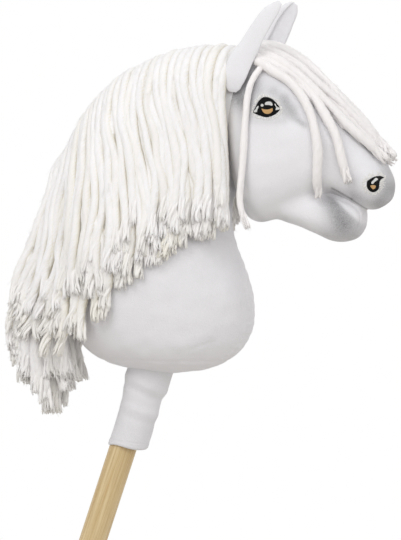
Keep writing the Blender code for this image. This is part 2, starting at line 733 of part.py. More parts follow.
def add_embroidery(head_outside):
    """Eyes with their iris and glint, and nostrils, on both sides."""
    eye = almond(EYE_CENTRE, EYE_HALF, EYE_TILT, EYE_SHARPNESS)
    iris = almond(IRIS_CENTRE, IRIS_HALF, 0.0, 0.0)
    glint = almond(GLINT_CENTRE, GLINT_HALF, 0.0, 0.0)
    nostril = almond(NOSTRIL_CENTRE, NOSTRIL_HALF, NOSTRIL_TILT, NOSTRIL_SHARPNESS)
    top = SEAM_GAP + THREAD_HEIGHT
    eye_outside = grown("eye_outside", HEAD, top + SEAM_GAP)
    for side_name, side in SIDES:
        skin_patch("eye_" + side_name, eye, side, -SINK, top, "black_thread", head_outside)
        skin_patch("nostril_" + side_name, nostril, side, -SINK, top, "black_thread", head_outside)
        for name, outline, thread in (("iris_", iris, "amber_thread"), ("eye_glint_", glint, "white_thread")):
            skin_patch(name + side_name, outline, side, top - SINK / 2, 2 * top, thread, eye_outside)


def body_reach(x, z, side):
    """How far the neck and head reach from the middle plane at x and z, or 0 beside them."""
    start, way = Vector((x, side * FAR, z)), Vector((0.0, -side, 0.0))
    hits = [tree.ray_cast(start, way)[0] for tree in (NECK_TREE, HEAD_TREE)]
    return max([abs(hit.y) for hit in hits if hit is not None], default=0.0)


def crest_frame(count):
    """Points of the crest in x and z where yarn is sewn, and the directions out of it."""
    line = [row[:2] for row in MANE_ROOTS] + [REAR_LOCKS[0][0][0]]
    points = along(line, np.linspace(0, 1, count))
    tangent = np.gradient(points, axis=0)
    out = np.stack([tangent[:, 1], -tangent[:, 0]], axis=1)
    out /= np.linalg.norm(out, axis=1, keepdims=True)
    return points, out


def crest_hit(point, out, y):
    """The skin under a point of the crest, at y from the middle plane."""
    start = Vector((point[0] + out[0] * SKIN_SEARCH, y, point[1] + out[1] * SKIN_SEARCH))
    way = Vector((-out[0], 0.0, -out[1]))
    hits = [tree.ray_cast(start, way) for tree in (NECK_TREE, HEAD_TREE)]
    nearest = min((hit for hit in hits if hit[0] is not None), key=lambda hit: hit[3])
    return np.array(nearest[0])


def draped_strand(root, degrees, side):
    """Points of a strand laid from the crest over the body like a taut string that then hangs."""
    angle = math.radians(degrees)
    way = np.array([-math.sin(angle), -math.cos(angle)])
    distances = DRAPE_REACH * np.linspace(0, 1, DRAPE_STEPS) ** 2
    ahead = LOOK_STEP * np.arange(1, LOOK_STEPS + 1)
    reach = [0.0]
    for distance in distances[1:]:
        x, z = np.array(root) + way * distance
        ease = min(distance / HANGING_REACH, 1.0)
        ease = ease * ease * (3 - 2 * ease)
        beside = [body_reach(x + d, z, side) - HANGING_SLOPE * d for d in ahead]
        reach.append(max(body_reach(x, z, side), ease * HANGING_HALF, ease * max(beside)))
    hull = [0]
    for i in range(1, len(reach)):
        while len(hull) > 1:
            a, b = hull[-2], hull[-1]
            rise = (reach[b] - reach[a]) * (distances[i] - distances[b])
            if rise > (reach[i] - reach[b]) * (distances[b] - distances[a]):
                break
            hull.pop()
        hull.append(i)
    taut = np.interp(distances, distances[hull], np.array(reach)[hull])
    taut = np.maximum.accumulate(taut)
    return np.stack([root[0] + way[0] * distances, side * taut, root[1] + way[1] * distances], axis=1)


def resampled(points, lengths):
    """Points of a line at these lengths along it."""
    steps = np.linalg.norm(np.diff(points, axis=0), axis=1)
    reach = np.concatenate([[0.0], np.cumsum(steps)])
    return np.stack([np.interp(lengths, reach, column) for column in points.T], axis=1)


def mane_sheet(side):
    """A grid of points over the body where the mane lies, from root to end and from poll to rear."""
    sheet = np.zeros((SHEET_ROWS, SHEET_COLUMNS, 3))
    rows = along(MANE_ROOTS, np.linspace(0, 1, SHEET_COLUMNS))
    tangent = np.gradient(rows[:, :2], axis=0)
    for column, (x, z, degrees, length) in enumerate(rows):
        out = np.array([tangent[column][1], -tangent[column][0]])
        root = crest_hit((x, z), out / np.linalg.norm(out), 0.0)
        strand = draped_strand((root[0], root[2]), degrees, side)
        lengths = np.linspace(0, YARN_LENGTH * length, SHEET_ROWS)
        sheet[:, column] = resampled(strand, lengths)
    for _ in range(SHEET_SMOOTHING):
        sheet[:, 1:-1] = (sheet[:, :-2] + 2 * sheet[:, 1:-1] + sheet[:, 2:]) / 4
        sheet[1:-1] = (sheet[:-2] + 2 * sheet[1:-1] + sheet[2:]) / 4
    for point in sheet.reshape(-1, 3):
        point[1] = side * max(abs(point[1]), body_reach(point[0], point[2], side))
    sheet[:, :, 1] += side * SEAM_GAP
    return sheet


def grid_at(grid, rows, columns):
    """Points of a grid at fractions of its rows (one set per column) and fractions of its columns."""
    count_rows, count_columns = grid.shape[:2]
    across = np.clip(columns, 0, 1) * (count_columns - 1)
    low = np.minimum(across.astype(int), count_columns - 2)
    part = (across - low)[None, :, None]
    strips = grid[:, low] * (1 - part) + grid[:, low + 1] * part
    made = np.zeros((rows.shape[0], len(columns), 3))
    for j in range(len(columns)):
        for k in range(3):
            made[:, j, k] = np.interp(rows[:, j] * (count_rows - 1), np.arange(count_rows), strips[:, j, k])
    return made


def add_mane_layer(prefix, side, count, share, low, high):
    """Locks of yarn over one side, between two heights over the skin. Each strand is a rib."""
    sheet = mane_sheet(side)
    normals = sheet_normals(sheet)
    if (normals[:, :, 1] * side).sum() < 0:
        normals = -normals
    columns_in_lock = 2 * LOCK_STRANDS + 1
    width = np.linalg.norm(np.diff(sheet[SHEET_ROWS // 2], axis=0), axis=1).sum()
    seam = LAYER_GAP / width
    shares = np.array([row for row in LOCK_ROWS if row < share - 0.02] + [share])
    lift = np.minimum(shares / LOCK_ROWS[2], 1.0) * LOCK_LIFT
    for lock in range(count):
        columns = np.linspace(lock / count + seam, (lock + 1) / count - seam, columns_in_lock)
        rib = np.array([1.0 if j % 2 else YARN_VALLEY for j in range(columns_in_lock)])
        rows = np.repeat(shares[:, None], columns_in_lock, axis=1)
        rows[-1] -= [RAGGED[((j + 1) // 2 + 2 * lock) % len(RAGGED)] for j in range(columns_in_lock)]
        base = grid_at(sheet, rows, columns)
        normal = grid_at(normals, rows, columns)
        normal /= np.linalg.norm(normal, axis=2, keepdims=True)
        inner = base + normal * (low + lift)[:, None, None]
        outer = inner + normal * ((high - low) * rib[None, :, None])
        for grid in (inner, outer):
            grid[:, :, 1] = side * np.maximum(side * grid[:, :, 1], SEAM_GAP)
        grid_solid(f"{prefix}_{lock + 1}", outer, inner, "yarn")


def add_mane():
    """Two layers of locks on the near side, and one on the far side."""
    base = TAPE_LIFT + TAPE_WALL + ROOT_GAP
    low = base + YARN_THICK + LAYER_GAP
    add_mane_layer("mane_under", -1, NEAR_LOCKS, 1.0, base, base + YARN_THICK)
    add_mane_layer("mane_top", -1, NEAR_LOCKS, TOP_LAYER_SHARE, low, low + YARN_THICK)
    add_mane_layer("mane_far", 1, FAR_LOCKS, FAR_LAYER_SHARE, base, base + YARN_THICK)


def add_tape():
    """The woven tape that the yarn is sewn to, laid on the skin along the crest."""
    points, out = crest_frame(TAPE_ALONG)
    across = np.linspace(-TAPE_HALF, TAPE_HALF, 3)
    skin = np.array([[crest_hit(point, way, y) for y in across] for point, way in zip(points, out)])
    lift = np.stack([out[:, 0], np.zeros(len(out)), out[:, 1]], axis=1)[:, None, :]
    grid_solid("mane_tape", skin + lift * (TAPE_LIFT + TAPE_WALL), skin + lift * TAPE_LIFT, "tape")


def root_on_tape(z):
    """Where yarn leaves the back of the tape at this height, in x and z."""
    skin = NECK_TREE.ray_cast(Vector((-FAR, 0.0, z)), Vector((1.0, 0.0, 0.0)))[0]
    return skin.x - TAPE_LIFT - TAPE_WALL - ROOT_GAP, z


def add_rear_locks():
    """The bunch that hangs behind the neck from the lower end of the tape."""
    shares = np.linspace(0, 1, REAR_ROWS)
    columns = np.linspace(0, 1, 2 * REAR_STRANDS + 1)
    rib = np.array([1.0 if j % 2 else REAR_VALLEY for j in range(len(columns))])
    for lock, (front, rear) in enumerate(REAR_LOCKS):
        ragged = np.array([1 - RAGGED[((j + 1) // 2 + lock) % len(RAGGED)] for j in range(len(columns))])
        outer = np.zeros((REAR_ROWS, len(columns), 3))
        for j, part_way in enumerate(columns):
            line = np.array(front) * (1 - part_way) + np.array(rear) * part_way
            line[0] = root_on_tape(line[0][1])
            edge = along(line, np.append(shares[:-1], ragged[j]))
            outer[:, j, 0], outer[:, j, 2] = edge[:, 0], edge[:, 1]
        ease = np.minimum(shares * 3, 1.0)
        half = REAR_HALF_ROOT + (REAR_HALF - REAR_HALF_ROOT) * ease * ease * (3 - 2 * ease)
        outer[:, :, 1] = -half[:, None] * rib[None, :]
        inner = outer * [1, -1, 1]
        grid_solid(f"mane_rear_{lock + 1}", outer, inner, "yarn")


def head_skin_at(share, degrees, height):
    """A point over the head's skin at a share along it and an angle round it, and its normal there."""
    spots = []
    for along_step, round_step in ((0, 0), (SKIN_STEP_ALONG, 0), (0, SKIN_STEP_ROUND)):
        row = along(HEAD_SECTIONS, [share + along_step])[0]
        spots.append(oval_point(row, np.array([math.radians(degrees + round_step)]), HEAD_POWER)[0])
    normal = np.cross(spots[1] - spots[0], spots[2] - spots[0])
    normal /= np.linalg.norm(normal)
    row = along(HEAD_SECTIONS, [share])[0]
    middle = np.array([(row[0] + row[2]) / 2, 0.0, (row[1] + row[3]) / 2])
    if normal @ (spots[0] - middle) < 0:
        normal = -normal
    return spots[0] + normal * height, normal


def add_forelock():
    """Locks laid from the poll over the forehead, the nose and the cheeks."""
    columns = np.linspace(-1, 1, 2 * FORELOCK_STRANDS + 1)
    shares = np.linspace(0, 1, FORELOCK_ROWS)
    for name, path, half_root, half_end in FORELOCKS:
        line = along(path, shares)
        spots, normals = zip(*(head_skin_at(share, degrees, SEAM_GAP) for share, degrees in line))
        spots, normals = np.array(spots), np.array(normals)
        ahead = np.gradient(spots, axis=0)
        aside = np.cross(ahead, normals)
        aside /= np.linalg.norm(aside, axis=1, keepdims=True)
        half = half_root + (half_end - half_root) * shares
        inner = spots[:, None] + aside[:, None] * (columns[None, :, None] * half[:, None, None])
        lifts = [FORELOCK_ROOT_LIFT] + [FORELOCK_LIFT] * (FORELOCK_ROWS - 1)
        for row, normal, lift in zip(inner, normals, lifts):
            row[:] = [onto_head(point, normal, lift) for point in row]
        rib = np.array([1.0 if j % 2 else YARN_VALLEY for j in range(len(columns))])
        outer = inner + normals[:, None] * (FORELOCK_THICK * rib[None, :, None])
        grid_solid(name, outer, inner, "yarn")


def onto_head(point, normal, lift):
    """Moves a point along a direction until it lies this far over the head's skin."""
    start = Vector(point + normal * SKIN_SEARCH)
    place = HEAD_TREE.ray_cast(start, Vector(-normal))[0]
    return np.array(place) + normal * lift if place is not None else point


def add_cheek_strand():
    """The one strand that has slipped down the right cheek."""
    line = along(CHEEK_STRAND, np.linspace(0, 1, CHEEK_STRAND_ROWS))
    reach = np.maximum.accumulate([body_reach(x, z, -1) for x, z in line])
    curve = bpy.data.curves.new("cheek_strand_line", "CURVE")
    curve.dimensions = "3D"
    curve.bevel_depth = CHEEK_STRAND_RADIUS
    curve.bevel_resolution = 1
    curve.use_fill_caps = True
    spline = curve.splines.new("POLY")
    spline.points.add(len(line) - 1)
    for point, (x, z), y in zip(spline.points, line, reach):
        point.co = (x, -(y + CHEEK_STRAND_RADIUS + CHEEK_STRAND_LIFT), z, 1.0)
    curve.materials.append(MATERIALS["yarn"])
    obj = bpy.data.objects.new("cheek_strand", curve)
    PARTS.objects.link(obj)
    obj.location = HEAD_AT


def add_parts():
    add_materials()
    add_stick()
    add_pocket()
    hole = pocket_hole()
    neck_outside = grown("neck_outside", NECK, SEAM_GAP)
    head_outside = grown("head_outside", HEAD, SEAM_GAP)
    head_inside = grown("head_inside", HEAD, -FABRIC_WALL)
    add_sleeve(neck_outside)
    add_fillings(hole, head_outside)
    add_neck_skin(head_inside, hole)
    add_head_skin(neck_outside)
    add_jaw_skin(neck_outside, head_outside)
    add_ears(head_outside)
    add_embroidery(head_outside)
    add_tape()
    add_mane()
    add_rear_locks()
    add_forelock()
    add_cheek_strand()


add_parts()
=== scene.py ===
"""Looks of the hobby horse: plush skins, yarn mane and forelock, embroidery, sleeve and wooden stick.

Metres. Points of the head are in the head frame, whose origin is on the stick's axis at the mouth of the
sleeve: +X the way the horse faces, +Y its left side, +Z up. Its right side is the near one.
"""

import json
import math

import bmesh
import bpy
import numpy as np
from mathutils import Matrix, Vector
from mathutils.bvhtree import BVHTree

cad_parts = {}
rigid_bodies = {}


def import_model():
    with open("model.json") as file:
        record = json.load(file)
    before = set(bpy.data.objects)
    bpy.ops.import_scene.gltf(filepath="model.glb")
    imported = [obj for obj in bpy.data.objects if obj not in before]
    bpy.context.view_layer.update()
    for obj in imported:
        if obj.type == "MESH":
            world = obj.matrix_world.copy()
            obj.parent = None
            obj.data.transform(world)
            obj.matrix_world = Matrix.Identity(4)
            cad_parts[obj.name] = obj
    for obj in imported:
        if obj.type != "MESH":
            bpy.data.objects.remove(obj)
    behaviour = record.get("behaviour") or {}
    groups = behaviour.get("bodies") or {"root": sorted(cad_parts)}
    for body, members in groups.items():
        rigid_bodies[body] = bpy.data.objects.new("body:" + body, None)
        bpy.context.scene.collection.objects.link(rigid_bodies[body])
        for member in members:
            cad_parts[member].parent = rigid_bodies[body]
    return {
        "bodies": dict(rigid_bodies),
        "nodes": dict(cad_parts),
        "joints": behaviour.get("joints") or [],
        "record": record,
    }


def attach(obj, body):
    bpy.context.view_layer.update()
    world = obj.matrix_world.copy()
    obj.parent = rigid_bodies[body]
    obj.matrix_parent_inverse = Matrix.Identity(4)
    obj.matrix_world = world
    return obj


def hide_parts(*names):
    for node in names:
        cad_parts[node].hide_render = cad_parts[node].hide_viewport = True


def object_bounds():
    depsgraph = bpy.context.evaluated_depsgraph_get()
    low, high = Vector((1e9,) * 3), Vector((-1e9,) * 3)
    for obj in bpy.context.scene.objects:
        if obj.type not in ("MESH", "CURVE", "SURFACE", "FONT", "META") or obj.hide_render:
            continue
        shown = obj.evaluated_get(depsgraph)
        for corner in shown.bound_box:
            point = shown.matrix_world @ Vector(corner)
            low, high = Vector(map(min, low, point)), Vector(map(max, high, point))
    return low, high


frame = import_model()
cad_low, cad_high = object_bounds()


def tenths(*rows):
    """A table written in tenths of a millimetre, with its shares in ten-thousandths."""
    return np.array(rows) / 10000


def pairs(*numbers):
    """Places in the photograph, across and down in its pixels, written one after the other."""
    return np.array(numbers, float).reshape(-1, 2)


# Stick and the head's place on it
STICK_RADIUS = 0.0125
STICK_EXPOSED = 0.540
STICK_INSERTED = 0.232
STICK_CHAMFER = 0.0015
STICK_SIDES = 72
STICK_RINGS = 60
STICK_UP = np.array(frame["joints"][0]["axis"])
STICK_ACROSS = np.array([STICK_UP[2], 0.0, -STICK_UP[0]])
HEAD_AT = STICK_UP * STICK_EXPOSED
POCKET_RADIUS = 0.0146
SIDES = (("right", -1), ("left", 1))

# Sections of the stuffed forms: the top or back point's x and z, the under or front point's x and z, and
# the half width. The jaw's are up to 6 mm fuller than the built ones at the top of its front.
NECK_SECTIONS = tenths(
    (420, 665, 420, 665, 0), (120, 720, 740, 705, 240), (-150, 790, 940, 780, 420),
    (-350, 920, 1095, 895, 540), (-470, 1110, 1188, 1040, 610), (-545, 1370, 1222, 1220, 650),
    (-570, 1710, 1195, 1440, 660), (-550, 2110, 1110, 1690, 630), (-450, 2560, 1030, 1950, 570),
    (-260, 2990, 1015, 2220, 510), (20, 3300, 1080, 2460, 460), (360, 3485, 1180, 2680, 420),
    (700, 3565, 1320, 2900, 390), (1010, 3590, 1440, 3100, 340), (1180, 3540, 1460, 3250, 220),
    (1360, 3400, 1360, 3400, 0),
)
HEAD_SECTIONS = tenths(
    (950, 3150, 950, 3150, 0), (980, 3420, 1020, 2850, 270), (1080, 3560, 1060, 2500, 380),
    (1220, 3620, 1120, 2260, 435), (1370, 3615, 1200, 2110, 470), (1510, 3560, 1310, 2070, 480),
    (1650, 3465, 1430, 2105, 475), (1790, 3345, 1560, 2160, 460), (1930, 3205, 1690, 2240, 430),
    (2070, 3055, 1830, 2310, 390), (2195, 2920, 1960, 2335, 350), (2310, 2795, 2090, 2290, 325),
    (2405, 2690, 2210, 2225, 315), (2485, 2605, 2320, 2190, 300), (2535, 2520, 2425, 2200, 265),
    (2558, 2450, 2500, 2245, 200), (2562, 2395, 2545, 2295, 110), (2560, 2345, 2560, 2345, 0),
)
JAW_SECTIONS = tenths(
    (1300, 2330, 1300, 2330, 0), (1350, 2420, 1370, 2200, 200), (1480, 2440, 1500, 2090, 280),
    (1670, 2420, 1650, 2030, 295), (1850, 2380, 1810, 1965, 285), (1990, 2340, 1950, 1910, 270),
    (2090, 2312, 2075, 1895, 250), (2180, 2274, 2175, 1918, 228), (2245, 2240, 2238, 1965, 192),
    (2280, 2205, 2275, 2030, 130), (2288, 2125, 2288, 2125, 0),
)
NECK_POWER = 2.15
HEAD_POWER = 2.5
JAW_POWER = 2.4
# Steps between two rows of a table, and points round a form
FINE_STEPS = 12
FINE_AROUND = 150
LUMP_WAVES = 7
SKIN_VOXEL = 0.0012
# Uneven stuffing and cloth: the height, size and seed of each set of swells
NECK_UNEVEN = ((0.0009, 0.055, 3), (0.0003, 0.018, 4))
HEAD_UNEVEN = ((0.0006, 0.045, 5), (0.0002, 0.014, 6))
EAR_UNEVEN = ((0.0003, 0.02, 11),)
SLEEVE_UNEVEN = ((0.0006, 0.030, 8),)

# Seams of the skin
SEAM_DEPTH = 0.0009
SEAM_WIDTH = 0.0011
BASE_SEAM_HEIGHT = 0.080
THROAT_GUSSET_HALF = 0.012
FACE_GUSSET_HALF = 0.017
CHIN_GUSSET_HALF = 0.010

# The photograph's camera: a long lens level with the head, turned a little to the horse's front
VIEW_TURN = math.radians(12.0)
VIEW_RISE = math.radians(1.5)
VIEW_DISTANCE = 6.0
VIEW_HEIGHT = 0.4968
VIEW_TARGET = np.array([0.2429, 0.0, 0.6752])
PHOTO_WIDTH, PHOTO_HEIGHT = 401, 540
PIXEL = VIEW_HEIGHT / PHOTO_HEIGHT
VIEW_BACK = np.array([math.sin(VIEW_TURN) * math.cos(VIEW_RISE), -math.cos(VIEW_TURN) * math.cos(VIEW_RISE),
                      math.sin(VIEW_RISE)])
VIEW_ACROSS = np.array([math.cos(VIEW_TURN), math.sin(VIEW_TURN), 0.0])
VIEW_UP = np.cross(VIEW_BACK, VIEW_ACROSS)
CAMERA_AT = VIEW_TARGET + VIEW_BACK * VIEW_DISTANCE


def srgb(*values):
    """A colour from display values of 0 to 255."""
    return tuple(((v / 255 + 0.055) / 1.055) ** 2.4 if v > 10 else v / 255 / 12.92 for v in values)


def darker(colour, share):
    return tuple(part * share for part in colour)


def unit(vectors):
    return vectors / np.maximum(np.linalg.norm(vectors, axis=-1, keepdims=True), 1e-12)


def circle(count):
    """This many even angles round a circle."""
    return np.linspace(0, 2 * math.pi, count, endpoint=False)


def smoothstep(values, low, high):
    part = np.clip((values - low) / (high - low), 0, 1)
    return part * part * (3 - 2 * part)


def smooth_rows(rows, steps):
    """A curve through every row, with this many steps between two rows (Catmull-Rom)."""
    rows = np.array(rows, float)
    padded = np.vstack([2 * rows[0] - rows[1], rows, 2 * rows[-1] - rows[-2]])
    made = []
    for i in range(len(rows) - 1):
        a, b, c, d = padded[i : i + 4]
        for t in np.linspace(0, 1, steps, endpoint=False):
            straight = 2 * b + (c - a) * t
            bent = (2 * a - 5 * b + 4 * c - d) * t**2 + (3 * b - a - 3 * c + d) * t**3
            made.append(0.5 * (straight + bent))
    return np.array([*made, rows[-1]])


def at_places(places, rows_at, rows):
    """Each column of the rows, read at other places than the ones where they are given."""
    return np.stack([np.interp(places, rows_at, column) for column in np.transpose(rows)], axis=1)


def along(rows, shares):
    """The rows of a smooth curve at shares of the number of its rows."""
    dense = smooth_rows(rows, FINE_STEPS)
    return at_places(np.array(shares, float) * (len(dense) - 1), np.arange(len(dense)), dense)


def reach_of(paths):
    """How far along its path each point is."""
    steps = np.linalg.norm(np.diff(paths, axis=-2), axis=-1)
    return np.concatenate([np.zeros((*steps.shape[:-1], 1)), np.cumsum(steps, axis=-1)], axis=-1)


def each_of(count, rng):
    """A function that draws one number between two limits for each of this many strands."""
    return lambda low, high: rng.uniform(low, high, (count, 1))


# Meshes


def placed(name, data, at=HEAD_AT):
    obj = bpy.data.objects.new(name, data)
    bpy.context.scene.collection.objects.link(obj)
    obj.location = at
    return obj


def finished(obj, body, slot_name, material, *nodes):
    """Gives a piece its material, says what it rides on and hides the nodes that it replaces. slot_name is
    not used.
    """
    obj.data.shade_smooth()
    obj.data.materials.clear()
    obj.data.materials.append(material)
    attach(obj, body)
    if nodes:
        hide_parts(*nodes)
    return obj


def mesh_object(name, points, faces, at=HEAD_AT):
    mesh = bpy.data.meshes.new(name)
    mesh.from_pydata(np.asarray(points).tolist(), [], faces)
    return placed(name, mesh, at)


def read(rows, name, width, kind=float):
    values = np.empty(len(rows) * width, kind)
    rows.foreach_get(name, values)
    return values.reshape(-1, width)


def points_of(mesh):
    return read(mesh.vertices, "co", 3)


def normals_of(mesh):
    return read(mesh.vertex_normals, "vector", 3)


def move_points(mesh, points):
    mesh.vertices.foreach_set("co", points.ravel())
    mesh.update()


def add_values(mesh, name, values):
    """A number, or a vector, for each vertex, which the materials read by its name."""
    kind, field = ("FLOAT", "value") if values.ndim == 1 else ("FLOAT_VECTOR", "vector")
    mesh.attributes.new(name, kind, "POINT").data.foreach_set(field, values.astype(np.float32).ravel())


def relaxed(points, edges, weights, rounds):
    """Points moved towards the mean of their neighbours, as far as each one's weight says."""
    count = len(points)
    ends, others = np.concatenate([edges, edges[:, ::-1]]).T
    degree = np.maximum(np.bincount(ends, minlength=count), 1)
    for _ in range(rounds):
        mean = np.stack([np.bincount(ends, points[others, k], count) for k in range(3)], axis=1)
        points = points + (mean / degree[:, None] - points) * weights[:, None]
    return points


def baked(obj):
    """The object with its modifiers applied."""
    mesh = bpy.data.meshes.new_from_object(obj.evaluated_get(bpy.context.evaluated_depsgraph_get()))
    old = obj.data
    obj.modifiers.clear()
    obj.data = mesh
    bpy.data.meshes.remove(old)
    return obj


def outward(obj):
    """Turns the faces of a closed mesh outward."""
    shaped = bmesh.new()
    shaped.from_mesh(obj.data)
    bmesh.ops.recalc_face_normals(shaped, faces=shaped.faces)
    shaped.to_mesh(obj.data)
    shaped.free()
    return obj


def closed_faces(rings, around):
    """Faces of a closed form whose points are its first one, then each ring's, then its last one."""
    faces, end = [], 1 + rings * around
    for j in range(around):
        k = (j + 1) % around
        faces += [(0, 1 + k, 1 + j), (end, end - around + j, end - around + k)]
        faces += [(i + j, i + k, i + around + k, i + around + j) for i in range(1, end - around, around)]
    return faces


def oval_points(row, angles, power):
    """Points of an upright oval section. Angle 0 is its top or back, and positive is the right side."""
    top = np.array([row[0], 0.0, row[1]])
    under = np.array([row[2], 0.0, row[3]])
    cosine, sine = np.cos(angles), np.sin(angles)
    up = np.sign(cosine) * np.abs(cosine) ** (2 / power)
    side = -np.sign(sine) * np.abs(sine) ** (2 / power)
    return (top + under) / 2 + np.outer(up, (top - under) / 2) + np.outer(side, [0.0, row[4], 0.0])


def fine_loft(sections, power):
    """Points and faces of a closed form through oval sections that start and end in a point."""
    first, *rows, last = smooth_rows(sections, FINE_STEPS)
    rings = [oval_points(row, circle(FINE_AROUND), power) for row in rows]
    ends = [np.array([[row[0], 0.0, row[1]]]) for row in (first, last)]
    return np.vstack([ends[0], *rings, ends[1]]), closed_faces(len(rings), FINE_AROUND)


def joined(*forms):
    """Points and faces of several forms as one mesh."""
    faces, shift = [], 0
    for points, form_faces in forms:
        faces += [tuple(i + shift for i in face) for face in form_faces]
        shift += len(points)
    return np.vstack([points for points, _ in forms]), faces


def tree_of(points, faces):
    return BVHTree.FromPolygons(points.tolist(), faces)


def tree_of_mesh(mesh):
    return tree_of(points_of(mesh), [face.vertices[:] for face in mesh.polygons])


def distances_to(tree, points):
    return np.array([tree.find_nearest(Vector(p))[3] for p in points])


NECK = fine_loft(NECK_SECTIONS, NECK_POWER)
HEAD = fine_loft(HEAD_SECTIONS, HEAD_POWER)
JAW = fine_loft(JAW_SECTIONS, JAW_POWER)
NECK_TREE, HEAD_TREE, JAW_TREE = (tree_of(*form) for form in (NECK, HEAD, JAW))


def way_to(across, down):
    """The way from the camera to a place in the photograph, in its pixels."""
    spot = VIEW_TARGET + VIEW_ACROSS * (across - PHOTO_WIDTH / 2) * PIXEL
    return unit(spot + VIEW_UP * (PHOTO_HEIGHT / 2 - down) * PIXEL - CAMERA_AT)


def seen_at(place):
    """Where a point of the head is in the photograph, in its pixels."""
    beyond = place + HEAD_AT - CAMERA_AT
    scale = VIEW_DISTANCE / PIXEL / -(beyond @ VIEW_BACK)
    across, up = beyond @ VIEW_ACROSS * scale, beyond @ VIEW_UP * scale
    return np.array([PHOTO_WIDTH / 2 + across, PHOTO_HEIGHT / 2 - up])


def nearest_hit(start, way, trees):
    """The place and normal of the nearest surface that a ray meets, or None."""
    hits = [tree.ray_cast(Vector(start), Vector(way)) for tree in trees]
    hits = [hit for hit in hits if hit[0] is not None]
    if not hits:
        return None
    hit = min(hits, key=lambda found: found[3])
    return np.array(hit[0]), np.array(hit[1])


def first_hit(across, down, trees):
    """The place and normal of what is seen at a place in the photograph, or None."""
    return nearest_hit(CAMERA_AT - HEAD_AT, way_to(across, down), trees)


def lumps(points, size, seed):
    """A smooth uneven value from -1 to 1 for each point, with swells of about this size."""
    rng = np.random.default_rng(seed)
    total = np.zeros(len(points))
    for _ in range(LUMP_WAVES):
        way = unit(rng.normal(size=3)) * 2 * math.pi / (size * rng.uniform(0.8, 1.6))
        total += np.sin(points @ way + rng.uniform(0, 2 * math.pi))
    return total / (LUMP_WAVES / 2)


def uneven(points, swells):
    """How far each point is raised by sets of swells."""
    return sum(height * lumps(points, size, seed) for height, size, seed in swells)


# Materials


class Nodes:
    """A material's nodes, with short ways to add and link them."""

    def __init__(self, name, roughness, **sockets):
        self.material = bpy.data.materials.new(name)
        self.material.use_nodes = True
        self.tree = self.material.node_tree
        self.shader = self.tree.nodes["Principled BSDF"]
        for socket, value in {"Roughness": roughness, **sockets}.items():
            self.shader.inputs[socket.replace("_", " ")].default_value = value

    def add(self, kind, inputs=(), **settings):
        node = self.tree.nodes.new(kind)
        for key, value in settings.items():
            setattr(node, key, value)
        for key, value in dict(inputs).items():
            if isinstance(value, bpy.types.NodeSocket):
                self.tree.links.new(value, node.inputs[key])
            else:
                node.inputs[key].default_value = value
        return node

    def value(self, name, output="Fac"):
        return self.add("ShaderNodeAttribute", attribute_name=name).outputs[output]

    def place(self):
        return self.add("ShaderNodeTexCoord").outputs["Object"]

    def noise(self, vector, scale, detail=3.0, roughness=0.55, stretch=None):
        if stretch:
            vector = self.add("ShaderNodeMapping", {"Vector": vector, "Scale": stretch}).outputs["Vector"]
        inputs = {"Vector": vector, "Scale": scale, "Detail": detail, "Roughness": roughness}
        return self.add("ShaderNodeTexNoise", inputs).outputs["Fac"]

    def ramp(self, value, low, high, out_low=0.0, out_high=1.0):
        inputs = {"Value": value, "From Min": low, "From Max": high, "To Min": out_low, "To Max": out_high}
        return self.add("ShaderNodeMapRange", inputs).outputs["Result"]

    def maths(self, operation, a, b):
        return self.add("ShaderNodeMath", {0: a, 1: b}, operation=operation).outputs[0]

    def mix(self, share, a, b):
        a, b = (side if isinstance(side, bpy.types.NodeSocket) else (*side, 1.0) for side in (a, b))
        return self.add("ShaderNodeMix", {0: share, 6: a, 7: b}, data_type="RGBA").outputs[2]

    def over(self, base, value, low, high, colour, most=1.0):
        """A colour laid over base: not at all where the value is low, and at most where it is high."""
        return self.mix(self.ramp(value, low, high, 0.0, most), base, colour)

    def feed(self, socket, value):
        self.tree.links.new(value, self.shader.inputs[socket])

    def done(self, colour, *bumps):
        """The material with this colour, and bump from heights, each with its strength and its metres."""
        self.feed("Base Color", colour)
        under = {}
        for height, strength, distance in bumps:
            inputs = {"Height": height, "Strength": strength, "Distance": distance, **under}
            under = {"Normal": self.add("ShaderNodeBump", inputs).outputs["Normal"]}
        self.feed("Normal", under["Normal"])
        return self.material


# The grey of the toy's airbrushing, also used for painted shade
AIRBRUSH_AND_SHADE_GREY = srgb(70, 70, 72)


def plush_material(name, colour):
    """Short white pile, lightly mottled, with grey laid on where a vertex value says: the airbrushing that
    the real toy has, and painted shade.
    """
    made = Nodes(name, 0.95, Sheen_Weight=0.18, Sheen_Roughness=0.45, Specular_IOR_Level=0.2)
    place = made.place()
    cloud = made.noise(place, 55.0, 4.0)
    fine = made.noise(place, 900.0, 2.0)
    pile = made.noise(place, 1500.0, 2.0, stretch=(1.0, 1.0, 0.45))
    base = made.over(darker(colour, 0.965), cloud, 0.35, 0.7, colour)
    base = made.over(base, fine, 0.3, 0.7, darker(colour, 0.90), 0.35)
    speckle = made.ramp(made.noise(place, 1000.0, 2.0), 0.3, 0.7, 0.78, 1.22)
    grey = made.maths("MINIMUM", made.maths("MULTIPLY", made.value("airbrush_and_shade"), speckle), 0.97)
    return made.done(made.mix(grey, base, AIRBRUSH_AND_SHADE_GREY), (pile, 0.5, 0.0006), (fine, 0.35, 0.0008))


def yarn_material(name, face, deep):
    """Soft twisted yarn, with fibres that run along each strand, and painted shade: creamier where it lies
    deep, for light bounced between strands.
    """
    made = Nodes(name, 0.95, Sheen_Weight=0.1, Sheen_Roughness=0.5, Specular_IOR_Level=0.1)
    fibre = made.value("fibre", "Vector")
    streaks = made.noise(fibre, 1500.0, 2.0, stretch=(0.09, 1.0, 1.0))
    broad = made.noise(fibre, 260.0, 2.0, stretch=(0.12, 1.0, 1.0))
    base = made.mix(made.value("deep"), face, deep)
    base = made.over(base, streaks, 0.35, 0.75, darker(deep, 0.97), 0.15)
    base = made.over(base, broad, 0.4, 0.75, deep, 0.1)
    return made.done(base, (streaks, 0.8, 0.0006))


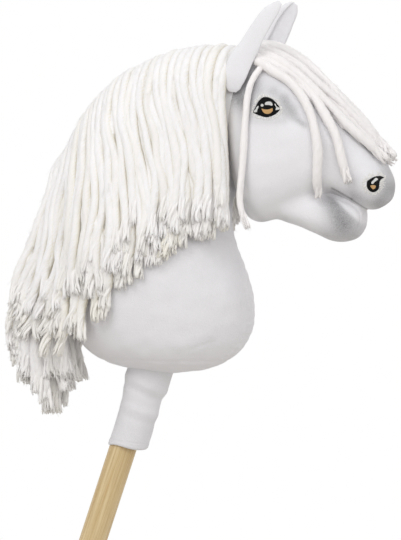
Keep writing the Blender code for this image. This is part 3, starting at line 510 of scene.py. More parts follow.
def wood_material():
    """Pale pine with straight grain along the stick, worn a little smoother on the ridges."""
    made = Nodes("pine", 0.45, Specular_IOR_Level=0.4)
    grain = made.value("grain", "Vector")
    wide = made.noise(grain, 190.0, 4.0, 0.6, stretch=(1.0, 1.0, 0.035))
    narrow = made.noise(grain, 1100.0, 3.0, stretch=(1.0, 1.0, 0.02))
    pores = made.noise(grain, 2600.0, 1.0, stretch=(1.0, 1.0, 0.05))
    base = made.over(srgb(220, 200, 158), wide, 0.38, 0.66, srgb(196, 168, 120))
    base = made.over(base, narrow, 0.45, 0.75, srgb(174, 142, 96), 0.6)
    base = made.over(base, pores, 0.62, 0.8, srgb(148, 114, 72), 0.35)
    made.feed("Roughness", made.ramp(narrow, 0.3, 0.8, 0.38, 0.58))
    return made.done(base, (narrow, 0.25, 0.0004), (pores, 0.3, 0.0003))


def thread_material(name, colour, roughness=0.45, gloss=0.45):
    """Satin stitch: close parallel threads across the value stitch."""
    made = Nodes(name, roughness, Specular_IOR_Level=gloss)
    inputs = {"Vector": made.value("stitch", "Vector"), "Scale": 720.0, "Distortion": 1.2, "Detail": 2.0,
              "Detail Scale": 2.0}
    threads = made.add("ShaderNodeTexWave", inputs).outputs["Fac"]
    shade = made.mix(made.ramp(threads, 0.0, 1.0, 0.30, 0.0), colour, darker(colour, 0.60))
    return made.done(shade, (threads, 0.8, 0.0005))


def border_material():
    """Loose white stitches of the open borders."""
    made = Nodes("open_white_stitch", 0.7, Sheen_Weight=0.1)
    streaks = made.noise(made.value("fibre", "Vector"), 3000.0, 2.0, stretch=(0.3, 1.0, 1.0))
    shade = made.over(srgb(246, 245, 243), streaks, 0.35, 0.7, srgb(214, 212, 208))
    return made.done(shade, (streaks, 0.5, 0.0002))


def plain_material(name, colour, scale):
    """Woven or matted cloth that hardly shows."""
    made = Nodes(name, 0.95)
    weave = made.noise(made.place(), scale, 3.0)
    return made.done(made.mix(weave, darker(colour, 0.88), colour), (weave, 0.5, 0.0006))


PLUSH_MATERIAL = plush_material("white_plush", srgb(235, 234, 237))
# Each yarn's second colour is the painted shade it gets where it lies deep and between strands
YARN_MATERIAL = yarn_material("yarn", srgb(248, 247, 249), srgb(239, 233, 214))
FORELOCK_YARN = yarn_material("forelock_yarn", srgb(248, 246, 246), srgb(243, 239, 238))
WOOD_MATERIAL = wood_material()
THREADS = {
    "black_thread": thread_material("black_thread", srgb(13, 13, 15), 0.6, 0.15),
    "amber_thread": thread_material("amber_thread", srgb(240, 192, 130)),
    "white_thread": thread_material("white_thread", srgb(246, 246, 244)),
}
BORDER_STITCH = border_material()


# Camera, light and floor

# Each lamp's name, place, size and power
LAMPS = (
    ("key", (-0.7, -2.0, 2.4), 1.6, 20.5),
    ("fill", (1.9, -2.2, 1.7), 1.8, 14.0),
    ("back", (0.4, 2.2, 2.0), 1.6, 12.0),
)
LAMP_AIM = Vector((0.2, 0.0, 0.7))
WORLD_LIGHT = 0.78
FLOOR_HALF = 6.0
FLOOR_COLOUR = (0.62, 0.60, 0.57, 1.0)
FLOOR_GLOW = 0.62
WHITE = (1.0, 1.0, 1.0, 1.0)


def turned_to(obj, way):
    obj.rotation_euler = Vector(way).to_track_quat("-Z", "Y").to_euler()


def add_camera():
    data = bpy.data.cameras.new("camera")
    data.lens = data.sensor_width * VIEW_DISTANCE / VIEW_HEIGHT
    camera = placed("camera", data, CAMERA_AT)
    turned_to(camera, -VIEW_BACK)
    bpy.context.scene.camera = camera


def add_lamps():
    for name, place, size, power in LAMPS:
        data = bpy.data.lights.new(name, "AREA")
        data.shape = "DISK"
        data.size = size
        data.energy = power
        turned_to(placed(name, data, place), LAMP_AIM - Vector(place))


def background_rays(tree):
    """1 for the rays that see the pale background: from the camera, in gloss and through glass."""
    path = tree.nodes.new("ShaderNodeLightPath")
    seen = path.outputs["Is Camera Ray"]
    for ray in ("Is Glossy Ray", "Is Transmission Ray"):
        either = tree.nodes.new("ShaderNodeMath")
        either.operation = "MAXIMUM"
        tree.links.new(seen, either.inputs[0])
        tree.links.new(path.outputs[ray], either.inputs[1])
        seen = either.outputs[0]
    return seen


def add_world():
    """White to the camera and in reflections, and an even pale light on the object."""
    world = bpy.data.worlds.new("studio")
    bpy.context.scene.world = world
    world.use_nodes = True
    tree = world.node_tree
    light, seen = tree.nodes["Background"], tree.nodes.new("ShaderNodeBackground")
    light.inputs["Strength"].default_value = WORLD_LIGHT
    for background in (light, seen):
        background.inputs["Color"].default_value = WHITE
    mix = tree.nodes.new("ShaderNodeMixShader")
    for i, output in enumerate((background_rays(tree), light.outputs[0], seen.outputs[0])):
        tree.links.new(output, mix.inputs[i])
    tree.links.new(mix.outputs[0], tree.nodes["World Output"].inputs["Surface"])


def add_floor():
    """A wide pale floor under the stick."""
    corners = [(x * FLOOR_HALF, y * FLOOR_HALF, 0.0) for x, y in ((-1, -1), (1, -1), (1, 1), (-1, 1))]
    floor = mesh_object("floor", corners, [(0, 1, 2, 3)], (0.0, 0.0, cad_low.z))
    made = Nodes("pale_floor", 0.9, Specular_IOR_Level=0.1, Base_Color=FLOOR_COLOUR, Emission_Color=WHITE)
    made.feed("Emission Strength", made.maths("MULTIPLY", background_rays(made.tree), FLOOR_GLOW))
    floor.data.materials.append(made.material)


bpy.context.scene.view_settings.view_transform = "Standard"
add_camera()
add_world()
add_lamps()
add_floor()


# Stick


def add_stick():
    """The dowel, turned on its axis, with chamfered ends."""
    length = STICK_EXPOSED + STICK_INSERTED
    shoulder = STICK_RADIUS - STICK_CHAMFER
    profile = [(shoulder * 0.5, 0.0), (shoulder, 0.0)]
    profile += [(STICK_RADIUS - STICK_CHAMFER * (1 - t) ** 2, STICK_CHAMFER * t) for t in (0.35, 0.7, 1.0)]
    profile += [(STICK_RADIUS, z) for z in np.linspace(0.01, length - 0.01, STICK_RINGS)]
    profile += [(r, length - z) for r, z in profile[4::-1]]
    rings = [[r * math.cos(a), r * math.sin(a), z] for r, z in profile for a in circle(STICK_SIDES)]
    local = np.array([[0.0, 0.0, 0.0], *rings, [0.0, 0.0, length]])
    turned = local @ np.array([STICK_ACROSS, [0, 1, 0], STICK_UP])
    stick = mesh_object("dowel", turned, closed_faces(len(profile), STICK_SIDES), (0, 0, 0))
    add_values(stick.data, "grain", local + [0.013, 0.004, 0.0])
    finished(stick, "stick", "wood", WOOD_MATERIAL, "stick")
    stick.data.set_sharp_from_angle(angle=math.radians(50))


add_stick()

# Skins


def capsule(x, z, stroke):
    """How strongly a soft stroke covers points of the side view: two ends, two radii and a strength."""
    x0, z0, x1, z1, r0, r1, strength = stroke
    way = np.array([x1 - x0, z1 - z0])
    length = max(float(way @ way), 1e-12)
    t = np.clip(((x - x0) * way[0] + (z - z0) * way[1]) / length, 0, 1)
    away = np.hypot(x - x0 - t * way[0], z - z0 - t * way[1]) / (r0 + (r1 - r0) * t)
    return strength * np.exp(-away**2)


# How grey the strokes make each point: airbrush, and painted shade
def greyed_by_strokes(points, strokes):
    clear = np.ones(len(points))
    for stroke in strokes:
        clear *= 1 - capsule(points[:, 0], points[:, 2], stroke)
    return 1 - clear


def groove(distance, width=SEAM_WIDTH):
    return np.exp(-((distance / width) ** 2))


def from_stick(points):
    """The shortest way from the stick's axis to each point."""
    return points - np.outer(points @ STICK_UP, STICK_UP)

# Painted shade on the neck: a band in the crease behind the cheek, a little more below it, and a faint broad
# patch low on the neck. The two ends of each stroke in x and z, its two radii and its strength
NECK_SHADE_STROKES = tenths(
    (1120, 3300, 1040, 2350, 200, 140, 1000), (1040, 2350, 1160, 2120, 120, 100, 600),
    (200, 1600, 1000, 1600, 900, 900, 400),
)
NECK_DART, NECK_DART_SWELL = tenths(
    (720, 905, 940, 985, 16, 10, 10000), (700, 950, 920, 1040, 70, 40, 10000),
)
# The hole for the stick: where it starts, how far it goes on past the stick, and how near to it the skin
# stays as it is
POCKET_BOTTOM = 0.02
POCKET_SPARE = 0.002
POCKET_NEAR = 0.0015
# Puckers beside the throat's seams, from one to the next, and how they slope, with their width and depth
PUCKERS, PUCKER_SLOPE, PUCKER_WIDTH, PUCKER_DEPTH = 0.0085, 0.4, 0.006, 0.00025
NECK_SEAM_DEPTH = 0.6 * SEAM_DEPTH
DART_RISE, DART_DEPTH = 0.0005, 0.0004


def add_neck():
    """The stuffed neck: side panels, throat gusset and base, with its seams and a dart."""
    obj = outward(mesh_object("neck_skin", *NECK))
    angles = circle(48)
    ring = np.outer(np.cos(angles), STICK_ACROSS) + np.outer(np.sin(angles), [0, 1, 0])
    ends = (POCKET_BOTTOM, STICK_INSERTED + POCKET_SPARE)
    tube = np.vstack([ring * POCKET_RADIUS + STICK_UP * end for end in ends])
    count = len(ring)
    faces = [tuple(range(count - 1, -1, -1)), tuple(range(count, 2 * count))]
    faces += [(i, (i + 1) % count, count + (i + 1) % count, count + i) for i in range(count)]
    cutter = outward(mesh_object("pocket_hole", tube, faces))
    hole = obj.modifiers.new("pocket", "BOOLEAN")
    hole.object = cutter
    hole.operation = "DIFFERENCE"
    baked(obj)
    bpy.data.objects.remove(cutter)
    mesh = obj.data
    points, normals = points_of(mesh), normals_of(mesh)
    outside = np.linalg.norm(from_stick(points), axis=1) >= POCKET_RADIUS + POCKET_NEAR
    x, y, z = points.T
    beside = np.abs(y) - THROAT_GUSSET_HALF
    seams = groove(beside) * smoothstep(normals[:, 0], 0.0, 0.35) * (z > BASE_SEAM_HEIGHT)
    seams = np.maximum(seams, groove(z - BASE_SEAM_HEIGHT) * (normals[:, 2] < 0.2))
    seams = np.maximum(seams, groove(y) * smoothstep(-normals[:, 0], 0.1, 0.4))
    pucker = np.cos(2 * math.pi * (z + PUCKER_SLOPE * x) / PUCKERS) * groove(beside, PUCKER_WIDTH)
    pucker *= normals[:, 0] > 0.05
    lift = uneven(points, NECK_UNEVEN) + (PUCKER_DEPTH * pucker - NECK_SEAM_DEPTH * seams)
    lift += DART_RISE * capsule(x, z, NECK_DART_SWELL) - DART_DEPTH * capsule(x, z, NECK_DART)
    move_points(mesh, points + normals * (lift * outside)[:, None])
    # Painted shade: grey in the crease behind the cheek and low on the neck
    add_values(mesh, "airbrush_and_shade", greyed_by_strokes(points, NECK_SHADE_STROKES) * outside)
    finished(obj, "head", "plush", PLUSH_MATERIAL, "neck_right_panel", "neck_left_panel", "throat_gusset",
             "neck_base_panel", "neck_filling")
    return obj


# Grey on the head, the same on both sides: the airbrushing that the real head has round the eye, nostril,
# muzzle, mouth and ear, together with painted shade in the mouth's crease, behind the cheek and under the
# ear's root
HEAD_STROKES = tenths(
    (1608, 3156, 1787, 2958, 63, 26, 2400), (1599, 3073, 1759, 2981, 48, 24, 1600),
    (1580, 3202, 1674, 3100, 43, 48, 1800), (1313, 3413, 1322, 3284, 77, 68, 1400),
    (1354, 3284, 1486, 3275, 68, 48, 1400), (1486, 3257, 1599, 3211, 43, 39, 1500),
    (1388, 3376, 1519, 3321, 77, 58, 1000), (1340, 2999, 1603, 2999, 31, 34, 1000),
    # The second stroke here and the two after it, round the ear's root, are airbrush and painted shade under
    # the ear together
    (1265, 3211, 1265, 3018, 43, 39, 1400), (1096, 3266, 1218, 3192, 116, 106, 6200),
    (1186, 3450, 1271, 3340, 87, 77, 4600), (1150, 3290, 1262, 3480, 34, 30, 4000),
    # Painted shade in the crease behind the cheek
    (1152, 3082, 1142, 2640, 87, 77, 500), (1142, 2640, 1142, 2052, 77, 77, 200),
    (1220, 2272, 1342, 2098, 39, 39, 1000), (1331, 2079, 1557, 2098, 34, 34, 1000),
    (1573, 2070, 2025, 1895, 39, 39, 800), (1968, 2364, 2063, 2300, 58, 58, 1200),
    (2019, 2245, 2103, 2070, 106, 126, 5800), (2139, 2134, 2242, 2015, 106, 116, 1600),
    (1938, 1978, 2192, 1923, 77, 77, 1800), (2569, 2594, 2597, 2401, 72, 82, 3600),
    (2582, 2364, 2459, 2217, 82, 77, 3600), (2468, 2245, 2205, 2300, 77, 58, 2600),
    (2288, 2309, 2147, 2364, 68, 58, 1400), (2255, 2456, 2217, 2346, 77, 77, 1400),
    (2512, 2640, 2568, 2567, 48, 48, 1600), (1390, 3120, 1500, 3120, 150, 150, 1300),
    # The last two strokes are painted shadow in the mouth's crease
    (2430, 2420, 2440, 2420, 140, 140, 500), (2000, 2385, 2180, 2290, 10, 10, 5500),
    (2180, 2290, 2312, 2198, 10, 10, 5000),
)
# Soft modelling of the head's sides: x, z, radius and height
HEAD_SWELLS = tenths(
    (1500, 3300, 130, 16), (1680, 3060, 100, -14), (1360, 2450, 280, 16), (1980, 2640, 170, -14),
    (2380, 2430, 120, 18), (1880, 2320, 80, -8), (2100, 2120, 90, 10),
)
LOWER_LINING_LINE = tenths(
    (1850, 2385), (1920, 2352), (1998, 2300), (2080, 2230), (2145, 2170), (2215, 2110), (2280, 2060),
)
# Between these x, from back to front, the jaw comes free of the head, and its lip seam and lining begin
MOUTH_BACK, LIP_FROM, LINING_FROM = (0.184, 0.198), (0.184, 0.194), (0.186, 0.192)
LIP_WIDTH, LIP_SHARE, LIP_EASE = 0.0009, 0.4, 0.0030
# How much of the grey, airbrush and painted shade, the mouth's lining is spared
LINING_SPARED = 0.9
CHIN_TOP = 0.215
# The skin is smoothed all over, and more so this near to where head and jaw run into each other
JUNCTION_REACH = 0.009
SKIN_ROUNDS, JUNCTION_ROUNDS = 6, 90
# The muzzle is drawn in towards its tip: from and to these x, by this much
MUZZLE_FROM, MUZZLE_TO, MUZZLE_DRAWN_IN = 0.215, 0.258, 0.0044


def add_head():
    """The stuffed head and lower jaw as one skin, with its seams, its mouth, its airbrushing and painted
    shade.
    """
    obj = mesh_object("head_skin", *joined(HEAD, JAW))
    remesh = obj.modifiers.new("remesh", "REMESH")
    remesh.mode = "VOXEL"
    remesh.voxel_size = SKIN_VOXEL
    baked(obj)
    mesh = obj.data
    points, edges = points_of(mesh), read(mesh.edges, "vertices", 2, np.int32)
    junction = np.maximum(distances_to(HEAD_TREE, points), distances_to(JAW_TREE, points))
    mouth = smoothstep(points[:, 0], *MOUTH_BACK)
    weights = 0.6 * np.exp(-((junction / JUNCTION_REACH) ** 2)) * (1 - mouth)
    points = relaxed(points, edges, np.full(len(points), 0.5), SKIN_ROUNDS)
    points = relaxed(points, edges, weights, JUNCTION_ROUNDS)
    move_points(mesh, points)
    normals = normals_of(mesh)
    x, y, z = points.T
    lift = uneven(points, HEAD_UNEVEN)
    for centre_x, centre_z, radius, height in HEAD_SWELLS:
        away = ((x - centre_x) ** 2 + (z - centre_z) ** 2) / radius**2
        lift += height * np.exp(-away) * np.abs(normals[:, 1])
    top = smoothstep(normals[:, 0] + normals[:, 2], 0.1, 0.5)
    under = smoothstep(-normals[:, 2], 0.2, 0.5) * (z < CHIN_TOP)
    in_jaw = distances_to(JAW_TREE, points) < SKIN_VOXEL
    lip = z - np.interp(x, *LOWER_LINING_LINE.T)
    across = np.abs(y)
    seams = np.maximum(groove(across - FACE_GUSSET_HALF) * top, groove(across - CHIN_GUSSET_HALF) * under)
    seams = np.maximum(seams, LIP_SHARE * groove(lip, LIP_WIDTH) * smoothstep(x, *LIP_FROM) * in_jaw)
    lining = smoothstep(lip, -LIP_EASE, LIP_EASE) * in_jaw * smoothstep(x, *LINING_FROM)
    # Grey of the airbrushing and painted shade, mostly spared on the mouth's lining
    add_values(mesh, "airbrush_and_shade", greyed_by_strokes(points, HEAD_STROKES) * (1 - LINING_SPARED * lining))
    points = points + normals * (lift - SEAM_DEPTH * seams)[:, None]
    points[:, 0] -= MUZZLE_DRAWN_IN * smoothstep(points[:, 0], MUZZLE_FROM, MUZZLE_TO)
    move_points(mesh, points)
    finished(obj, "head", "plush", PLUSH_MATERIAL, "head_right_panel", "head_left_panel", "face_gusset",
             "upper_mouth_lining", "head_filling", "jaw_right_panel", "jaw_left_panel", "chin_gusset",
             "lower_mouth_lining", "jaw_filling")
    return obj


NECK_SKIN = add_neck()
NECK_SKIN_TREE = tree_of_mesh(NECK_SKIN.data)
SKIN_TREE = tree_of_mesh(add_head().data)

# Ears

# Each ear's middle line in x and z, with its half width. The left ear is turned a little more to the front,
# and so looks wider from the side.
EAR_LINE = tenths(
    (1118, 3262, 30), (1122, 3300, 62), (1134, 3386, 90), (1178, 3530, 104), (1270, 3690, 86),
    (1330, 3800, 76), (1400, 3920, 70), (1478, 4015, 52), (1532, 4080, 22),
)
EAR_LINE_LEFT = tenths(
    (1138, 3262, 30), (1142, 3300, 66), (1164, 3386, 98), (1216, 3530, 116), (1310, 3690, 106),
    (1370, 3800, 98), (1432, 3920, 90), (1494, 4015, 70), (1536, 4080, 30),
)
EAR_STAND_BASE = 0.0430
EAR_STAND_TIP = 0.0340
EAR_WALL = 0.0030
EAR_THIN_HALF = 0.0060
# The fold of an ear seen from its tip: forward and outward, in half widths, from the front rim round
# the back
EAR_FOLD = (
    (1, -0.02), (0.86, 0.1), (0.5, 0.18), (-0.05, 0.21), (-0.58, 0.17), (-0.9, 0.06), (-0.97, -0.04),
    (-0.86, -0.09), (-0.66, -0.1), (-0.5, -0.08),
)
EAR_ALONG = 64
EAR_FOLD_STEPS = 6
EAR_RIM_WALL = 0.18
# How much flatter the fold is at the root, the heights between which the painted shade at the root fades,
# and that painted shade and the painted shade on the lining inside
EAR_PINCH = 0.35
EAR_ROOT = (0.326, 0.345)
EAR_ROOT_SHADE, EAR_LINING_SHADE = 0.16, 0.05


def fold_section():
    """The closed outline of an ear's folded fabric, in half widths and walls: places and ways outward."""
    line = smooth_rows(EAR_FOLD, EAR_FOLD_STEPS)
    way = unit(np.gradient(line, axis=0))
    thick = np.sqrt(np.maximum(0.0, 1 - np.abs(np.linspace(-1, 1, len(line))) ** 14))
    thick[[0, -1]] = EAR_RIM_WALL
    return line, np.stack([-way[:, 1], way[:, 0]], axis=1) * thick[:, None]


def add_ears():
    """Each ear: plush folded round a lining, open to the front and the middle, and closed to a point."""
    line, thick = fold_section()
    around = 2 * len(line)
    for (side_name, side), ear_line in zip(SIDES, (EAR_LINE, EAR_LINE_LEFT)):
        rows = along(ear_line, np.linspace(0, 1, EAR_ALONG))
        heights = (rows[:, 1] - rows[0, 1]) / (rows[-1, 1] - rows[0, 1])
        points, inner = [], []
        for (x, z, half), way, height in zip(rows, unit(np.gradient(rows[:, :2], axis=0)), heights):
            stand = EAR_STAND_BASE + (EAR_STAND_TIP - EAR_STAND_BASE) * height
            wall = EAR_WALL / 2 * min(1.0, half / EAR_THIN_HALF)
            pinch = 1 - EAR_PINCH * (1 - height) ** 3
            for sign in (-1, 1):
                for ahead, out in (line * [1, pinch] * half + sign * thick * wall)[::-sign]:
                    points.append([x + ahead * way[1], side * (stand + out), z - ahead * way[0]])
                    inner.append(float(sign > 0))
        shaped = np.array(points)
        first, last = shaped[:around].mean(axis=0), shaped[-around:].mean(axis=0) + [0.0003, 0, 0.0006]
        faces = closed_faces(EAR_ALONG, around)
        obj = outward(mesh_object("ear_" + side_name, np.vstack([first, shaped, last]), faces))
        mesh = obj.data
        at = points_of(mesh)
        move_points(mesh, at + normals_of(mesh) * uneven(at, EAR_UNEVEN)[:, None])
        # Painted shade: grey where the ear meets the head, and a little on its lining inside
        grey = EAR_ROOT_SHADE * (1 - smoothstep(at[:, 2], *EAR_ROOT))
        add_values(mesh, "airbrush_and_shade", grey + EAR_LINING_SHADE * np.array([0.0, *inner, 0.0]))
        finished(obj, "head", "plush", PLUSH_MATERIAL, f"ear_{side_name}_outer", f"ear_{side_name}_lining")


add_ears()

# Sleeve

SLEEVE_WALL = 0.0011
SLEEVE_CLEARANCE = 0.0006
# How far the sleeve stands off the stick behind it, in front and beside it, from its hem to the neck
SLEEVE_SLACK = tenths((0, 74, 23), (0, 74, 24), (12, 66, 33), (44, 83, 53), (74, 84, 73))
SLEEVE_TOP = 0.088
SLEEVE_AROUND = 120
SLEEVE_RINGS = 84
# The share of the sleeve's length at its hem that has rings of its own, close together
HEM_SHARE, HEM_RINGS = 0.12, 16
HEM_HEIGHT = 0.0070
HEM_BEAD = 0.0003
HEM_TURN = 0.0006
# The hem sits this much higher in front, and as much lower behind, at this reach from the stick's axis
HEM_RISE = 0.0033
HEM_REACH = 0.0195
# Soft folds across the sleeve: two ends in x and z, two widths, and a height
SLEEVE_FOLDS = tenths(
    (60, 660, 500, 440, 35, 50, 12), (40, 580, 460, 370, 30, 45, -9), (-40, 400, 380, 260, 30, 45, 9),
    (-40, 320, 300, 190, 30, 40, -6),
)


def add_sleeve():
    """The fabric tube from the neck down the stick, with soft folds and a turned and stitched hem."""
    angles = circle(SLEEVE_AROUND)
    fit = STICK_RADIUS + SLEEVE_CLEARANCE
    shares = np.concatenate([np.linspace(0, HEM_SHARE, HEM_RINGS, endpoint=False),
                             np.linspace(HEM_SHARE, 1, SLEEVE_RINGS - HEM_RINGS)])
    outer, inner = [], []
    for distance, (rear, front, side) in zip(SLEEVE_TOP * shares, along(SLEEVE_SLACK, shares)):
        hem = smoothstep(distance, 0.0, 0.0016) * (1 - smoothstep(distance, HEM_HEIGHT - 0.0022, HEM_HEIGHT))
        turned = HEM_BEAD * hem - HEM_TURN * (1 - smoothstep(distance, 0.0, 0.0012))
        for wall, rings in ((SLEEVE_WALL + turned, outer), (0.0, inner)):
            reach = (rear + front) / 2 + fit + wall
            ring = np.outer(reach * np.cos(angles) + (front - rear) / 2, STICK_ACROSS)
            ring += np.outer((fit + side + wall) * np.sin(angles), [0, 1, 0]) + STICK_UP * distance
            rings.append(ring)
    points = np.vstack(outer + inner[::-1])
    x, y, z = points.T.copy()
    clear = smoothstep(points @ STICK_UP, HEM_HEIGHT, 0.018)
    lift = uneven(points, SLEEVE_UNEVEN)
    near = 0.55 + 0.45 * smoothstep(-y, -0.012, 0.006)
    for *fold, height in SLEEVE_FOLDS:
        lift += capsule(x - 0.2 * np.maximum(y, 0), z, (*fold, 1.0)) * height * near
    away = from_stick(points)
    loose = smoothstep(np.linalg.norm(away, axis=1), fit + 0.0006, fit + 0.0040)
    points += unit(away) * (lift * clear * loose)[:, None]
    drop = 0.0008 * np.sin(3 * np.arctan2(points[:, 1], points[:, 0]) + 0.7) * (1 - clear)
    drop += HEM_RISE * points @ STICK_ACROSS / HEM_REACH * (1 - smoothstep(points @ STICK_UP, 0.0, 0.045))
    points += np.outer(drop, STICK_UP)
    faces, count = [], len(points)
    for low in range(0, count, SLEEVE_AROUND):
        high = (low + SLEEVE_AROUND) % count
        for j in range(SLEEVE_AROUND):
            k = (j + 1) % SLEEVE_AROUND
            faces.append((low + j, low + k, high + k, high + j))
    obj = outward(mesh_object("sleeve_cloth", points, faces))
    high = points @ STICK_UP
    # Painted shade: a thin line along the hem's stitching, and grey that is deeper at the hem and up under
    # the neck
    stitches = 0.07 * groove(high - HEM_RISE * points @ STICK_ACROSS / HEM_REACH - HEM_HEIGHT * 0.86, 0.0007)
    shade = 0.09 - 0.04 * smoothstep(high, 0.02, 0.05) + 0.05 * smoothstep(high, 0.05, 0.085)
    add_values(obj.data, "airbrush_and_shade", np.clip(stitches + shade, 0, 1))
    finished(obj, "head", "plush", PLUSH_MATERIAL, "sleeve", "sleeve_hem")


add_sleeve()

# Yarn

PLIES = 4
COLUMNS = 12
LOBES = np.tile([0.95, 1.0, 1.0], PLIES)
PITCH = 0.042
FRAY = 0.016
# How far before a strand's end its plies start to show, and how much of the fray the core leaves free
LOOSENS = 0.011
CORE_ENDS = 0.30
PLY_RINGS = 10
PLY_SIDES = 6
WISPS = 11
WISP_SIDES = 4
# How thick plies and wisps are, as shares of their strand, and how many loose fibres are at a ply's end
PLY_THICK, WISP_THICK = 0.36, 0.20
BRUSH_FIBRES = 3
FIBRE_RINGS = 5
FIBRE_SIDES = 3
FIBRE_RADIUS = 0.00020
STRIP_GAP = 0.0008
PACKING_ROUNDS = 9
# How far along the fibre noise a tube may start, in metres, so that no two look the same
FIBRE_STARTS = 9
# How much deeper the tone is between strands, as painted shade, and between which facings it comes and goes
GAP_SHADE = 0.85
GAP_FACING = (0.10, 0.72)
GAP_BACK = (-0.75, -0.15)


def frames_along(paths):
    """Two directions across each path at each of its points, which don't turn round it."""
    tangent = unit(np.gradient(paths, axis=1))
    first = np.zeros_like(tangent)
    first[:, 0] = unit(np.cross(tangent[:, 0], [0.31, 0.22, 0.92]))
    for i in range(1, paths.shape[1]):
        onward = first[:, i - 1]
        onward = onward - tangent[:, i] * (onward * tangent[:, i]).sum(axis=1, keepdims=True)
        first[:, i] = unit(onward)
    return first, np.cross(tangent, first)


def stacked(parts, shape):
    """Values that are spread to one shape and set side by side."""
    return np.stack([np.broadcast_to(part, shape) for part in parts], axis=-1)


